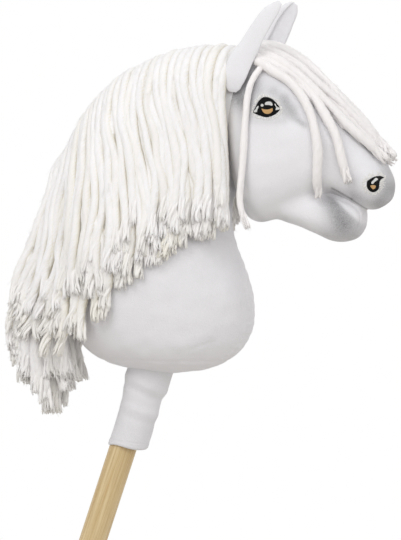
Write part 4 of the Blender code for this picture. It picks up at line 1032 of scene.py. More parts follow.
class Yarn:
    """Gathers tubes of one piece and makes them one mesh."""

    def __init__(self):
        self.points, self.fibre, self.deep, self.sizes = [], [], [], []
        self.faces, self.strips = {}, {}
        self.count = self.tubes = 0

    def add_faces(self, faces, across, up):
        """Faces of each tube, with their corners' places on its strip of the texture map."""
        size = faces.shape[-1]
        tube = (self.tubes + np.arange(len(faces))).reshape(-1, *[1] * (faces.ndim - 1))
        self.faces.setdefault(size, []).append(faces.reshape(-1, size))
        self.strips.setdefault(size, []).append(stacked((tube, across, up), faces.shape).reshape(-1, 3))

    def add_tubes(self, paths, radii, angles, deep, start, out=None):
        """Closed tubes along paths. radii is for each ring and column, and start a place in the fibres.

        Where out is given, the tubes get painted shade, deeper in tone, on the sides that face away from it.
        """
        number, rings, columns = radii.shape
        first, second = frames_along(paths)
        turn = np.broadcast_to(angles, radii.shape)[..., None]
        way = np.cos(turn) * first[:, :, None] + np.sin(turn) * second[:, :, None]
        self.points.append((paths[:, :, None] + radii[..., None] * way).reshape(-1, 3))
        if out is not None:
            facing = (way * out[:, :, None]).sum(axis=-1)
            beside = (1 - smoothstep(facing, *GAP_FACING)) * smoothstep(facing, *GAP_BACK)
            deep = np.clip(deep + GAP_SHADE * beside, 0, 1)
        self.deep.append(np.broadcast_to(deep, radii.shape).ravel())
        reach, mean = reach_of(paths), radii.mean(axis=(1, 2), keepdims=True)
        fixed = circle(columns)
        fibre = ((reach + start[:, None])[..., None], mean * np.cos(fixed), mean * np.sin(fixed))
        self.fibre.append(stacked(fibre, radii.shape).reshape(-1, 3))
        index = np.arange(number * rings * columns).reshape(number, rings, columns) + self.count
        after = np.roll(index, -1, axis=2)
        ring, column = np.indices((rings - 1, columns))
        across = np.stack([column, column + 1, column + 1, column], axis=-1) / columns
        up = np.stack([ring, ring, ring + 1, ring + 1], axis=-1) / (rings - 1)
        quads = np.stack([index[:, :-1], after[:, :-1], after[:, 1:], index[:, 1:]], axis=-1)
        self.add_faces(quads, across, up)
        across = np.arange(columns) / columns
        self.add_faces(index[:, 0, ::-1], across[::-1], 0.0)
        self.add_faces(index[:, -1], across, 1.0)
        self.sizes.append(np.stack([2 * math.pi * mean.ravel(), reach[:, -1]], axis=1))
        self.count += number * rings * columns
        self.tubes += number

    def add_strands(self, paths, radius, deep, seed, fray=FRAY, fuzz=14, out=None):
        """Twisted strands that come apart into their plies at the end, unless fray is 0."""
        rng = np.random.default_rng(seed)
        number, rings = paths.shape[:2]
        reach = reach_of(paths)
        length = reach[:, -1]
        each = each_of(number, rng)
        phase = each(0, 2 * math.pi)
        pitch = PITCH * each(0.85, 1.2)
        size = radius * each(0.88, 1.10)
        body = (length - fray * CORE_ENDS) / length
        at = reach * body[:, None]
        cut = along_paths(paths, reach, at)
        twist = 2 * math.pi * at / pitch + phase
        swell = 1 + 0.07 * np.sin(at / 0.017 + phase * 3) + 0.05 * np.sin(at / 0.0071 + phase * 5)
        taper = np.ones((number, rings))
        if fray:
            loose = (length - fray)[:, None]
            taper = 1 - 0.42 * smoothstep(at, loose - LOOSENS, loose + 0.004)
        taper[:, -1] *= 0.6 if fray else 0.55
        taper[:, 0] = 0.55
        radii = (size * swell * taper)[..., None] * LOBES
        start = rng.uniform(0, FIBRE_STARTS, number)
        angles, tone = twist[..., None] + circle(COLUMNS), np.clip(deep, 0, 1)[..., None]
        self.add_tubes(cut, radii, angles, tone, start, out)
        if fray:
            self.add_plies(paths, reach, fray, size, phase, pitch, deep, rng)
        self.add_fuzz(paths, reach, length - fray, size, deep, fuzz, rng)

    def add_plies(self, paths, reach, fray, size, phase, pitch, deep, rng):
        """The plies of each strand where they come apart, and thinner wisps between them."""
        number, length = len(paths), reach[:, -1:]
        each = each_of(number, rng)
        share = np.linspace(0, 1, PLY_RINGS)
        frames = frames_along(paths)
        tangent = unit(paths[:, -1] - paths[:, -3])
        for ply in range(PLIES + WISPS):
            thick, sides = (PLY_THICK, PLY_SIDES) if ply < PLIES else (WISP_THICK, WISP_SIDES)
            at = length - fray - LOOSENS + (fray + LOOSENS + each(-0.20, 0.12) * fray) * share
            held = np.minimum(at, length)
            centre = along_paths(paths, reach, held) + tangent[:, None] * (at - held)[..., None]
            one, two = (along_paths(frame, reach, held) for frame in frames)
            turn = 2 * math.pi * (at - 0.8 * fray * share**2) / pitch + phase + ply * 2 * math.pi / PLIES
            turn = (turn + rng.normal(0, 0.5, (number, 1)) * share)[..., None]
            spread = 0.50 + 0.10 * smoothstep(share, 0.0, 0.4) + each(-0.15, 0.45) * share**1.5
            curl = each(0.08, 0.42) * share * np.sin(share * each(4, 9) + each(0, 6.3))
            off = one * np.cos(turn) + two * np.sin(turn)
            beside = two * np.cos(turn) - one * np.sin(turn)
            line = centre + off * (spread * size)[..., None] + beside * (curl * size)[..., None]
            thin = size * thick * (1 - 0.10 * share - 0.40 * share**12)
            radii = np.repeat(thin[..., None], sides, axis=2)
            tone = np.minimum(deep[:, -1:, None] + 0.05, 1.0)
            self.add_tubes(line, radii, circle(sides), tone, rng.uniform(0, FIBRE_STARTS, number))
            if ply % 2 == 0 or ply < PLIES:
                self.add_brush(line, size * thick, deep[:, -1], rng)

    def add_brush(self, line, radius, deep, rng):
        """Short loose fibres at the blunt end of a ply."""
        share = np.linspace(0, 1, FIBRE_RINGS)[None, :, None]
        tip, way = line[:, -2], unit(line[:, -1] - line[:, -3])
        for _ in range(BRUSH_FIBRES):
            lean = rng.normal(0, 0.30, (len(line), 3))
            reach = rng.uniform(0.0010, 0.0030, (len(line), 1, 1))
            bend = rng.normal(0, 0.3, (len(line), 1, 3))
            fibre = (tip + lean * radius * 1.6)[:, None] + (way + lean)[:, None] * share * reach
            self.add_fibres(fibre + bend * reach * share**2, deep, rng)

    def add_fibres(self, paths, deep, rng):
        radii = FIBRE_RADIUS * rng.uniform(0.7, 1.2, (len(paths), 1, 1))
        radii = radii * np.linspace(1, 0.45, paths.shape[1])[None, :, None] * np.ones((1, 1, FIBRE_SIDES))
        tone = (deep * 0.6)[:, None, None]
        self.add_tubes(paths, radii, circle(FIBRE_SIDES), tone, rng.uniform(0, FIBRE_STARTS, len(paths)))

    def add_fuzz(self, paths, reach, length, size, deep, fuzz, rng):
        """Stray fibres that stand a little off the strands."""
        share = np.linspace(0, 1, FIBRE_RINGS)
        frames, each = frames_along(paths), each_of(len(paths), rng)
        for _ in range(fuzz):
            at = each(0.06, 0.97) * length[:, None]
            line = along_paths(paths, reach, np.minimum(at + each(0.006, 0.016) * share, length[:, None]))
            one, two = (along_paths(frame, reach, at) for frame in frames)
            turn = each(0, 2 * math.pi)[..., None]
            off = one * np.cos(turn) + two * np.sin(turn)
            rise = 0.95 + each(0.1, 0.8) * share**1.5
            self.add_fibres(line + off * (rise * size)[..., None], deep[:, 0], rng)

    def mesh(self, name):
        points = np.vstack(self.points)
        mesh = bpy.data.meshes.new(name)
        mesh.vertices.add(len(points))
        mesh.vertices.foreach_set("co", points.ravel())
        groups = {size: np.vstack(parts) for size, parts in self.faces.items()}
        corners = np.concatenate([faces.ravel() for faces in groups.values()])
        counts = np.concatenate([np.full(len(faces), size) for size, faces in groups.items()])
        mesh.loops.add(len(corners))
        mesh.loops.foreach_set("vertex_index", corners.astype(np.int32))
        mesh.polygons.add(len(counts))
        mesh.polygons.foreach_set("loop_start", (np.cumsum(counts) - counts).astype(np.int32))
        mesh.update(calc_edges=True)
        add_values(mesh, "fibre", np.vstack(self.fibre))
        add_values(mesh, "deep", np.concatenate(self.deep))
        strips = np.vstack([np.vstack(self.strips[size]) for size in groups])
        sizes = np.vstack(self.sizes)
        scale, lowest = packed_strips(sizes)
        tube = strips[:, 0].astype(int)
        places = lowest[tube] + strips[:, 1:] * sizes[tube] * scale
        layer = mesh.uv_layers.new(name="OFBake")
        layer.data.foreach_set("uv", places.astype(np.float32).ravel())
        return mesh


def shelved(sizes, scale, gap):
    """Corners of strips set side by side on shelves in the unit square, and how high they reach."""
    corners = np.zeros((len(sizes), 2))
    left, base, height = gap, gap, 0.0
    for i in np.argsort(-sizes[:, 1], kind="stable"):
        width, tall = sizes[i] * scale
        if left + width + gap > 1:
            left, base, height = gap, base + height + gap, 0.0
        corners[i] = left, base
        left += width + gap
        height = max(height, tall)
    return corners, base + height + gap


def packed_strips(sizes):
    """The largest scale at which all strips lie apart in the unit square, and their corners."""
    low, high = 0.0, min(1 / math.sqrt((sizes[:, 0] * sizes[:, 1]).sum()), 0.98 / sizes.max())
    for _ in range(PACKING_ROUNDS):
        middle = (low + high) / 2
        if shelved(sizes, middle, STRIP_GAP)[1] > 1:
            high = middle
        else:
            low = middle
    return low, shelved(sizes, low, STRIP_GAP)[0]


def along_paths(values, reach, at):
    """Values of each path (number, rings, 3) at lengths along it (number, steps)."""
    return np.stack([at_places(*rows) for rows in zip(at, reach, values)])


def evened(paths, rounds=2):
    """Paths with their small kinks taken out."""
    for _ in range(rounds):
        paths[:, 1:-1] = (paths[:, :-2] + 2 * paths[:, 1:-1] + paths[:, 2:]) / 4
    return paths


def add_yarn(name, yarn, material, *nodes, slot_name="yarn"):
    finished(placed(name, yarn.mesh(name)), "head", slot_name, material, *nodes)


# Embroidery

# Outlines of the right side's stitching, at their places in the photograph
EYE_RIM = pairs(
    252, 114, 250.8, 109.5, 253, 103.5, 256, 98.2, 259, 94.6, 264, 94, 270, 95.4, 275.5, 97.6, 279, 101.5,
    281.6, 105.8, 284.6, 109.3, 282.8, 113.2, 279, 117.2, 273, 119.6, 266, 120.4, 259, 119, 254.4, 117.2,
)
EYE_GROUND = pairs(
    253, 112, 254.6, 108.8, 256.5, 104.8, 258.6, 101.2, 261.5, 98.2, 265, 97, 269, 97.6, 273, 99.6, 276,
    102.6, 278.4, 105.6, 280.2, 108.6, 278.6, 111.4, 275.6, 114.2, 272, 116, 267.8, 117.3, 263.5, 116.8,
    259, 115.4, 255.6, 113.9,
)
EYE_IRIS = pairs(
    261.8, 108.8, 264, 109.3, 267.5, 109.6, 270.5, 108.9, 272.6, 108.4, 272.9, 110.5, 271.6, 112.6, 268.5,
    114, 265.2, 113.6, 262.9, 111.6,
)
EYE_GLINT = pairs(
    265, 104.8, 265.2, 103, 267, 101.9, 270.2, 101.7, 272, 102.9, 272.8, 105.2, 271.4, 105.9, 269.6, 105.3,
    266.5, 105.2,
)
EYE_SPARK = pairs(
    260.8, 105.4, 261.5, 104.3, 262.6, 104, 263.8, 104.9, 263.8, 106, 262.6, 106.9, 261.4, 106.6,
)
EYE_REAR_CORNER = pairs(
    254, 111, 255.8, 109.4, 256.8, 107.4, 258.2, 106, 259, 106.6, 258.4, 108.4, 257.5, 110.4, 257.2, 112,
    254.8, 112.4,
)
EYE_FRONT_CORNER = pairs(
    274.6, 104, 275.6, 104.2, 276.4, 105.9, 277.8, 107.2, 279.5, 107.8, 279.5, 109.5, 277.4, 109.9, 275.6,
    110.2, 275.8, 108.6, 276.2, 107.2, 275, 105.8,
)
NOSTRIL_RIM = pairs(
    361.5, 186, 362.5, 179.5, 366, 174.5, 372, 171.4, 379, 171, 384.8, 173.8, 386, 179, 384.5, 186, 381,
    191.5, 375.5, 194.8, 369.5, 194.6, 364, 191.5,
)
NOSTRIL_GROUND = pairs(
    366.8, 185.5, 367, 181.5, 369.6, 179.4, 372.4, 177.6, 375.6, 176.4, 379.4, 175.9, 381.6, 176.4, 383.9,
    177.3, 382.6, 178.5, 381, 179.4, 379.6, 181.6, 379.2, 185, 378.8, 188.2, 376.8, 190.8, 373.4, 192.2,
    370, 191.2, 367.6, 188.6,
)
NOSTRIL_GLINT = pairs(
    370.9, 183, 371.6, 181.6, 373.4, 180, 374.8, 178.4, 376.4, 178.2, 377.6, 179.6, 376.2, 180.8, 374.4,
    182.2, 373, 183.8, 371.4, 183.9,
)
NOSTRIL_SPARK = pairs(
    370.2, 185.8, 371.6, 185.2, 374.2, 185.1, 375.6, 186, 375.2, 187.6, 373.9, 189, 372.4, 189, 371.2,
    187.6,
)
# Each layer of satin stitch: its name, outline, base height, height, the threads' direction, slot and node
STITCHING = (
    ("eye_ground", EYE_GROUND, 0.0002, 0.0007, 0.3, "black_thread", "eye"),
    ("eye_iris", EYE_IRIS, 0.0008, 0.0004, 1.4, "amber_thread", "iris"),
    ("eye_glint_large", EYE_GLINT, 0.0008, 0.0004, 0.2, "white_thread", "eye_glint"),
    ("eye_glint_small", EYE_SPARK, 0.0008, 0.0003, 0.2, "white_thread", None),
    ("eye_rear_corner", EYE_REAR_CORNER, 0.0008, 0.0003, 0.6, "white_thread", None),
    ("eye_front_corner", EYE_FRONT_CORNER, 0.0008, 0.0003, 0.6, "white_thread", None),
    ("nostril_ground", NOSTRIL_GROUND, 0.0002, 0.0006, 0.2, "black_thread", "nostril"),
    ("nostril_glint_large", NOSTRIL_GLINT, 0.0007, 0.0003, 0.2, "white_thread", None),
    ("nostril_spark", NOSTRIL_SPARK, 0.0007, 0.0003, 1.4, "amber_thread", None),
)
# Borders of loose stitches: name, inner and outer outline, number of stitches and seed
OPEN_STITCHING = (
    ("eye_border", EYE_GROUND, EYE_RIM, 260, 15),
    ("nostril_border", NOSTRIL_GROUND, NOSTRIL_RIM, 240, 16),
)
PATCH_ROUNDS = 18
PATCH_AROUND = 96
PATCH_BACK = 0.0008
CURVE_STEPS = 16
OPEN_STITCH_RADIUS = 0.00030
OPEN_STITCH_RINGS = 6
OPEN_STITCH_SIDES = 5
# How high the middle of a loose stitch arches, and how deep its ends are in the skin
OPEN_STITCH_ARCH, OPEN_STITCH_SUNK = 0.00036, 0.00006
FAR = 0.60


def on_side(x, z, side):
    """The place and normal of the head's finished skin at x and z, seen from one side."""
    return nearest_hit((x, side * FAR, z), (0.0, -side, 0.0), [SKIN_TREE])


def closed_curve(points, count):
    """This many points of the smooth closed curve through the given ones."""
    wrapped = np.vstack([points[-2:], points, points[:3]])
    dense = smooth_rows(wrapped, CURVE_STEPS)[2 * CURVE_STEPS : (2 + len(points)) * CURVE_STEPS]
    return dense[(np.arange(count) * len(dense)) // count]


def on_skin(outline):
    """The x and z on the head of an outline that is given at its places in the photograph."""
    spots = closed_curve(outline, PATCH_AROUND)
    return np.array([first_hit(*spot, [SKIN_TREE])[0][[0, 2]] for spot in spots])


def stitched(name, rim, side, base, height, thread_way, slot_name, *nodes):
    """A raised patch of satin stitch that follows the skin, with a rounded edge and a back inside it."""
    middle = rim.mean(axis=0)
    way = np.array([math.cos(thread_way), math.sin(thread_way)])
    shares = np.linspace(0, 1, PATCH_ROUNDS) ** 0.8
    crowns = np.sqrt(np.maximum(0.0, 1 - shares**8))
    face, back = base + height * crowns, base - PATCH_BACK * crowns
    rounds = [*zip(shares[1:], face[1:]), *zip(shares[:0:-1], back[:0:-1])]
    spots = [(middle + (spot - middle) * share, rise) for share, rise in rounds for spot in rim]
    points, stitch = [], []
    for spot, rise in [(middle, face[0]), *spots, (middle, back[0])]:
        place, normal = on_side(*spot, side)
        points.append(place + normal * rise)
        stitch.append([spot @ way, 0.0, 0.0])
    obj = outward(mesh_object(name, points, closed_faces(len(rounds), PATCH_AROUND)))
    add_values(obj.data, "stitch", np.array(stitch))
    finished(obj, "head", slot_name, THREADS[slot_name], *nodes)


def open_stitches(name, inner, outer, side, count, seed):
    """Short loose white stitches set outward round a patch, with the skin showing between them."""
    rng = np.random.default_rng(seed)
    lines = [np.vstack([line, line[:1]]) for line in (inner, outer)]
    paths = []
    for _ in range(count):
        at = rng.uniform(0, len(inner))
        edge, rim = (at_places([at], np.arange(len(line)), line)[0] for line in lines)
        begin = rng.uniform(-0.05, 0.65)
        end = begin + rng.uniform(0.22, 0.42)
        skew = (rim - edge)[::-1] * [1, -1] * rng.normal(0, 0.16)
        for t in np.linspace(0, 1, OPEN_STITCH_RINGS):
            x, z = edge + (rim - edge) * (begin + (end - begin) * t) + skew * t
            place, normal = on_side(x, z, side)
            paths.append(place + normal * (OPEN_STITCH_ARCH * math.sin(math.pi * t) - OPEN_STITCH_SUNK))
    yarn = Yarn()
    radii = OPEN_STITCH_RADIUS * rng.uniform(0.8, 1.3, (count, 1, 1))
    radii = radii * np.ones((OPEN_STITCH_RINGS, OPEN_STITCH_SIDES))
    paths = np.reshape(paths, (count, OPEN_STITCH_RINGS, 3))
    yarn.add_tubes(paths, radii, circle(OPEN_STITCH_SIDES), 0.0, rng.uniform(0, FIBRE_STARTS, count))
    add_yarn(name, yarn, BORDER_STITCH, slot_name="white_thread")


def add_embroidery():
    """Eyes and nostrils: open border, black ground, amber, and white glints."""
    for name, outline, base, height, way, slot_name, node in STITCHING:
        rim = on_skin(outline)
        for side_name, side in SIDES:
            nodes = [f"{node}_{side_name}"] if node else []
            stitched(f"{name}_{side_name}", rim, side, base, height, way, slot_name, *nodes)
    for name, inner, outer, count, seed in OPEN_STITCHING:
        inner, outer = on_skin(inner), on_skin(outer)
        nearest = [np.argmin(np.linalg.norm(outer - spot, axis=1)) for spot in inner]
        for side_name, side in SIDES:
            open_stitches(f"{name}_{side_name}", inner, outer[nearest], side, count, seed)


add_embroidery()

# Mane

# Where the yarn leaves the crest (x and z of the root), and its degrees back from straight down at three
# distances from there
MANE_ROOTS = (
    (0.108, 0.3592, 20, -3, 1), (0.09, 0.3595, 0, -7, 1), (0.07, 0.3565, -12, -14, 0),
    (0.036, 0.3485, -12, -15, 0), (0.002, 0.33, -11, -13, 0), (-0.026, 0.299, -1, -2, 7),
    (-0.04, 0.269, 32, 21, 21.5),
)
TURN_AT = (0.0, 0.05, 0.14)
# Lengths of the yarn from poll to rear: share of the crest, the longest, and the topmost and shortest
MANE_LENGTHS = (
    (0, 0.183, 0.166), (0.125, 0.184, 0.167), (0.25, 0.187, 0.17), (0.375, 0.195, 0.172),
    (0.5, 0.198, 0.17), (0.625, 0.203, 0.167), (0.6875, 0.214, 0.169), (0.75, 0.221, 0.17),
    (0.8125, 0.225, 0.172), (0.875, 0.219, 0.173), (0.9375, 0.2, 0.166), (1, 0.172, 0.154),
)
MANE_REACH = 0.240
YARN_RADIUS = 0.0047
CREST_LENGTH = 0.17
CREST_STEPS = 400
DRAPE_REACH = 0.260
DRAPE_STEPS = 70
# A hanging strand looks this far ahead for the body, and keeps this half width from the middle plane
LOOK_STEP = 0.006
LOOK_STEPS = 9
HANGING_HALF = 0.014
HANGING_REACH = 0.030
HANGING_SLOPE = 0.7
SHEET_COLUMNS = 65
SHEET_ROWS = 49
SHEET_SMOOTHING = 4
SKIN_SEARCH = 0.03
# The strands lie evenly side by side at this share of the sheet's length, and partly so at their roots
EVEN_AT = 0.25
EVEN_ROOTS = 0.6
EVEN_ROOTS_END = 0.30
# How far a strand reaches over the crest, and how much shorter the far side's are at the poll
OVER_CREST = 0.03
FAR_FRONT_SHORTER = 0.40
# About how many strands gather into one lock
LOCK_STRANDS = 3.2


def body_reach(x, z, side):
    """How far the neck and head reach from the middle plane at x and z, or 0 beside them."""
    hit = nearest_hit((x, side * FAR, z), (0.0, -side, 0.0), (NECK_TREE, HEAD_TREE))
    return abs(hit[0][1]) if hit else 0.0


def draped_strand(root, turns, side):
    """Points of a strand laid from the crest over the body like a taut string that then hangs."""
    distances = DRAPE_REACH * np.linspace(0, 1, DRAPE_STEPS) ** 2
    angle = np.radians(np.interp(distances, TURN_AT, turns))
    way = np.stack([-np.sin(angle), -np.cos(angle)], axis=1)
    steps = (way[1:] + way[:-1]) / 2 * np.diff(distances)[:, None]
    line = np.array(root) + np.vstack([[0.0, 0.0], np.cumsum(steps, axis=0)])
    ahead = LOOK_STEP * np.arange(1, LOOK_STEPS + 1)
    reach = [0.0]
    for distance, (x, z) in zip(distances[1:], line[1:]):
        ease = float(smoothstep(distance, 0.0, HANGING_REACH))
        beside = [body_reach(x + d, z, side) - HANGING_SLOPE * d for d in ahead]
        reach.append(max(body_reach(x, z, side), ease * HANGING_HALF, ease * max(beside)))
    hull = [0]
    for i in range(1, len(reach)):
        while len(hull) > 1:
            a, b = hull[-2], hull[-1]
            rise = (reach[b] - reach[a]) * (distances[i] - distances[b])
            if rise > (reach[i] - reach[b]) * (distances[b] - distances[a]):
                break
            hull.pop()
        hull.append(i)
    taut = np.maximum.accumulate(np.interp(distances, distances[hull], np.array(reach)[hull]))
    return np.stack([line[:, 0], side * taut, line[:, 1]], axis=1)


def mane_sheet(side):
    """A grid of points over the body where the mane lies, from root to end and from poll to rear."""
    sheet = np.zeros((SHEET_ROWS, SHEET_COLUMNS, 3))
    dense = along(MANE_ROOTS, np.linspace(0, 1, CREST_STEPS))
    reach = reach_of(dense[:, :2])
    rows = at_places(np.linspace(0, reach[-1], SHEET_COLUMNS), reach, dense)
    tangent = np.gradient(rows[:, :2], axis=0)
    for column, (x, z, *turns) in enumerate(rows):
        out = unit(np.array([tangent[column][1], 0.0, -tangent[column][0]]))
        root = nearest_hit((x, 0.0, z) + out * SKIN_SEARCH, -out, (NECK_TREE, HEAD_TREE))[0]
        strand = draped_strand(root[[0, 2]], turns, side)
        sheet[:, column] = at_places(np.linspace(0, MANE_REACH, SHEET_ROWS), reach_of(strand), strand)
    for _ in range(SHEET_SMOOTHING):
        sheet[:, 1:-1] = (sheet[:, :-2] + 2 * sheet[:, 1:-1] + sheet[:, 2:]) / 4
        sheet[1:-1] = (sheet[:-2] + 2 * sheet[1:-1] + sheet[2:]) / 4
    for point in sheet.reshape(-1, 3):
        point[1] = side * max(abs(point[1]), body_reach(point[0], point[2], side))
    return sheet


def sheet_normals(sheet, side):
    normals = unit(np.cross(np.gradient(sheet, axis=0), np.gradient(sheet, axis=1)))
    return normals * side * np.sign(normals[:, :, 1].sum())


SHEETS = {side: mane_sheet(side) for _, side in SIDES}
NORMALS = {side: sheet_normals(SHEETS[side], side) for _, side in SIDES}
EVEN_COLUMNS = np.linspace(0, 1, SHEET_COLUMNS)
SPREAD = reach_of(SHEETS[-1][int(EVEN_AT * SHEET_ROWS)])
SPREAD /= SPREAD[-1]


def sampled(grid, rows, columns):
    """Values of a grid at rows and columns given as shares. Rows before the first are beyond the crest."""
    row = np.clip(np.abs(rows), 0, 1) * (grid.shape[0] - 1)
    column = np.clip(columns, 0, 1) * (grid.shape[1] - 1)
    i, j = np.minimum(row.astype(int), grid.shape[0] - 2), np.minimum(column.astype(int), grid.shape[1] - 2)
    a, b = (row - i)[..., None], (column - j)[..., None]
    made = (grid[i, j] * (1 - a) + grid[i + 1, j] * a) * (1 - b)
    made += (grid[i, j + 1] * (1 - a) + grid[i + 1, j + 1] * a) * b
    made[..., 1] *= np.where(rows < 0, -1, 1)
    return made


def add_mane_layer(name, side, count, lift, tier, ragged, deep, seed, rings, *nodes):
    """One layer of loose strands over one side, gathered into small locks towards their ends.

    tier is 0 for the longest yarn and 1 for the shortest.
    """
    rng = np.random.default_rng(seed)
    each = each_of(count, rng)
    places = np.arange(count) + 0.5
    column = np.interp((places + rng.uniform(-0.22, 0.22, count)) / count, SPREAD, EVEN_COLUMNS)
    column[0] = 0.0 if count % 2 == 0 else column[1] * 0.45
    table = np.array(MANE_LENGTHS)
    longest, shortest = at_places(column, table[:, 0], table[:, 1:]).T
    lengths = longest + (shortest - longest) * tier + rng.normal(0, ragged, count)
    lengths[0] = longest[0] + (shortest[0] - longest[0]) * tier * 0.3
    if side > 0:
        lengths *= 1 - FAR_FRONT_SHORTER * (1 - smoothstep(column, 0.03, 0.22))
    shares = np.clip(lengths / MANE_REACH, 0.5, 1.0)
    rows = (shares[:, None] + OVER_CREST) * np.linspace(0, 1, rings) - OVER_CREST
    lock = np.cumsum(rng.uniform(0.6, 1.5, count)) // LOCK_STRANDS
    middle = np.array([column[lock == own].mean() for own in lock])
    middle[0] = column[0]
    gather = (middle - column)[:, None] * each(0.15, 0.40) * smoothstep(rows, 0.10, 0.80)
    wave = each(0, 2 * math.pi)
    bend = each(0.0010, 0.0028) * np.sin(rows * each(7, 13) + wave)
    bend += each(0.0006, 0.0016) * np.sin(rows * each(18, 30) + wave * 5)
    bend += rng.normal(0, 0.0032, (count, 1)) * smoothstep(rows, 0.30, 0.95)
    across = column[:, None] + gather + bend * smoothstep(rows, 0.0, 0.3) / CREST_LENGTH
    evenly = (places / count - column)[:, None] * (1 - smoothstep(rows, 0.0, EVEN_ROOTS_END))
    across += EVEN_ROOTS * evenly
    out = unit(sampled(NORMALS[side], rows, across))
    at_root = 0.72 + 0.28 * smoothstep(rows, 0.0, 0.12)
    heights = lift * at_root + each(-0.0005, 0.0005)
    heights += 0.0010 * np.sin(rows * each(5, 9) + wave * 2) * smoothstep(rows, 0.1, 0.4)
    heights[0] *= 0.8
    paths = evened(sampled(SHEETS[side], rows, across) + out * heights[..., None], 3)
    # Painted shade, deeper for the lower layers, with some random tone
    tone = np.clip(deep + rng.normal(0, 0.10, (count, 1)) + np.zeros((1, rings)), 0, 1)
    yarn = Yarn()
    yarn.add_strands(paths, YARN_RADIUS, tone, seed + 1, out=out)
    add_yarn(name, yarn, YARN_MATERIAL, *nodes)


def numbered(prefix, count):
    return [f"{prefix}_{i + 1}" for i in range(count)]


# Four layers on the near side and three on the far side, each shorter than the one under it: name, side,
# number of strands, lift, tier, raggedness, depth of painted shade, seed, rings and nodes
for layer in (
    ("mane_near_layer_1", -1, 30, 0.0040, 0.00, 0.0040, 0.20, 21, 66, *numbered("mane_under", 6)),
    ("mane_near_layer_2", -1, 29, 0.0066, 0.30, 0.0060, 0.12, 31, 62, *numbered("mane_top", 6)),
    ("mane_near_layer_3", -1, 30, 0.0090, 0.60, 0.0065, 0.05, 41, 60),
    ("mane_near_layer_4", -1, 29, 0.0112, 0.92, 0.0060, 0.00, 51, 58),
    ("mane_far_layer_1", 1, 32, 0.0040, 0.05, 0.0050, 0.25, 61, 62, *numbered("mane_far", 4)),
    ("mane_far_layer_2", 1, 31, 0.0068, 0.45, 0.0080, 0.12, 71, 60),
    ("mane_far_layer_3", 1, 32, 0.0096, 0.90, 0.0070, 0.00, 81, 58),
):
    add_mane_layer(*layer)

# Front and rear line in x and z of each lock that hangs behind the neck
REAR_LOCKS = tenths(
    (((-579, 2240), (-600, 1650), (-550, 1250), (-480, 880), (-430, 600)),
     ((-572, 2360), (-690, 1700), (-705, 1250), (-640, 820), (-530, 480))),
    (((-576, 2370), (-694, 1702), (-715, 1250), (-650, 800), (-570, 300)),
     ((-560, 2470), (-760, 1740), (-830, 1240), (-830, 800), (-810, 300))),
    (((-562, 2480), (-764, 1743), (-838, 1240), (-850, 850), (-840, 580)),
     ((-535, 2580), (-800, 1800), (-890, 1320), (-930, 920), (-935, 580))),
    (((-535, 2590), (-800, 1810), (-890, 1340), (-935, 980), (-945, 740)),
     ((-500, 2680), (-830, 1860), (-955, 1380), (-1020, 1020), (-1035, 740))),
)
REAR_HALF_ROOT = 0.0085
REAR_HALF = 0.0245
REAR_PER_LOCK = 4
REAR_STEPS = 50
REAR_YARN_RADIUS = 0.0047
# Painted shade on the tiers inside the bunch
REAR_SHADE = 0.10
# How far behind the skin its yarn starts
REAR_OFF = 0.003
# Across the bunch from the near side to the far one, each with the share of the length its tier has
REAR_TIERS = ((-1.0, 0.90), (-0.55, 0.97), (0.0, 1.0), (0.5, 0.97), (1.0, 0.88))


def add_rear_bunch():
    """The bunch that hangs behind the neck from the lower end of the crest, in tiers from each side."""
    rng = np.random.default_rng(91)
    paths, tones, near = [], [], []
    progress = np.linspace(0, 1, REAR_STEPS)
    for front, rear in REAR_LOCKS:
        for i in range(REAR_PER_LOCK):
            for depth, tier in REAR_TIERS if i % 2 == 0 else REAR_TIERS[:2]:
                part = (i + 0.5 + rng.uniform(-0.45, 0.45)) / REAR_PER_LOCK
                line = front * (1 - part) + rear * part
                skin = nearest_hit((-FAR, 0.0, line[0][1]), (1.0, 0.0, 0.0), [NECK_TREE])[0]
                line[0, 0] = skin[0] - REAR_OFF
                x, z = along(line, progress * min(1.0, tier * rng.uniform(0.92, 1.05))).T
                half = REAR_HALF_ROOT + (REAR_HALF - REAR_HALF_ROOT) * smoothstep(progress, 0.0, 0.30)
                wave = rng.uniform(0, 2 * math.pi)
                aside = np.clip(depth + rng.uniform(-0.22, 0.22), -1.0, 1.0)
                y = aside * half + 0.0020 * np.sin(progress * 8 + wave) * smoothstep(progress, 0.0, 0.4)
                x = x + 0.0018 * np.sin(progress * rng.uniform(5, 9) + wave * 2) * progress
                paths.append(np.stack([x, y, z], axis=1))
                # Painted shade on the tiers inside the bunch, none on the outer ones
                tones.append(0.0 if abs(depth) > 0.9 else REAR_SHADE)
                near.append(depth < 0.25)
    tones = np.array(tones)[:, None] + rng.normal(0, 0.08, (len(tones), 1)) + np.zeros((1, REAR_STEPS))
    paths, tones, near = evened(np.array(paths)), np.clip(tones, 0, 1), np.array(near)
    for name, which, seed, nodes in (("mane_rear_near", near, 92, ("mane_rear_1", "mane_rear_2")),
                                     ("mane_rear_far", ~near, 93, ("mane_rear_3",))):
        yarn = Yarn()
        yarn.add_strands(paths[which], REAR_YARN_RADIUS, tones[which], seed)
        add_yarn(name, yarn, YARN_MATERIAL, *nodes)


add_rear_bunch()

# Forelock

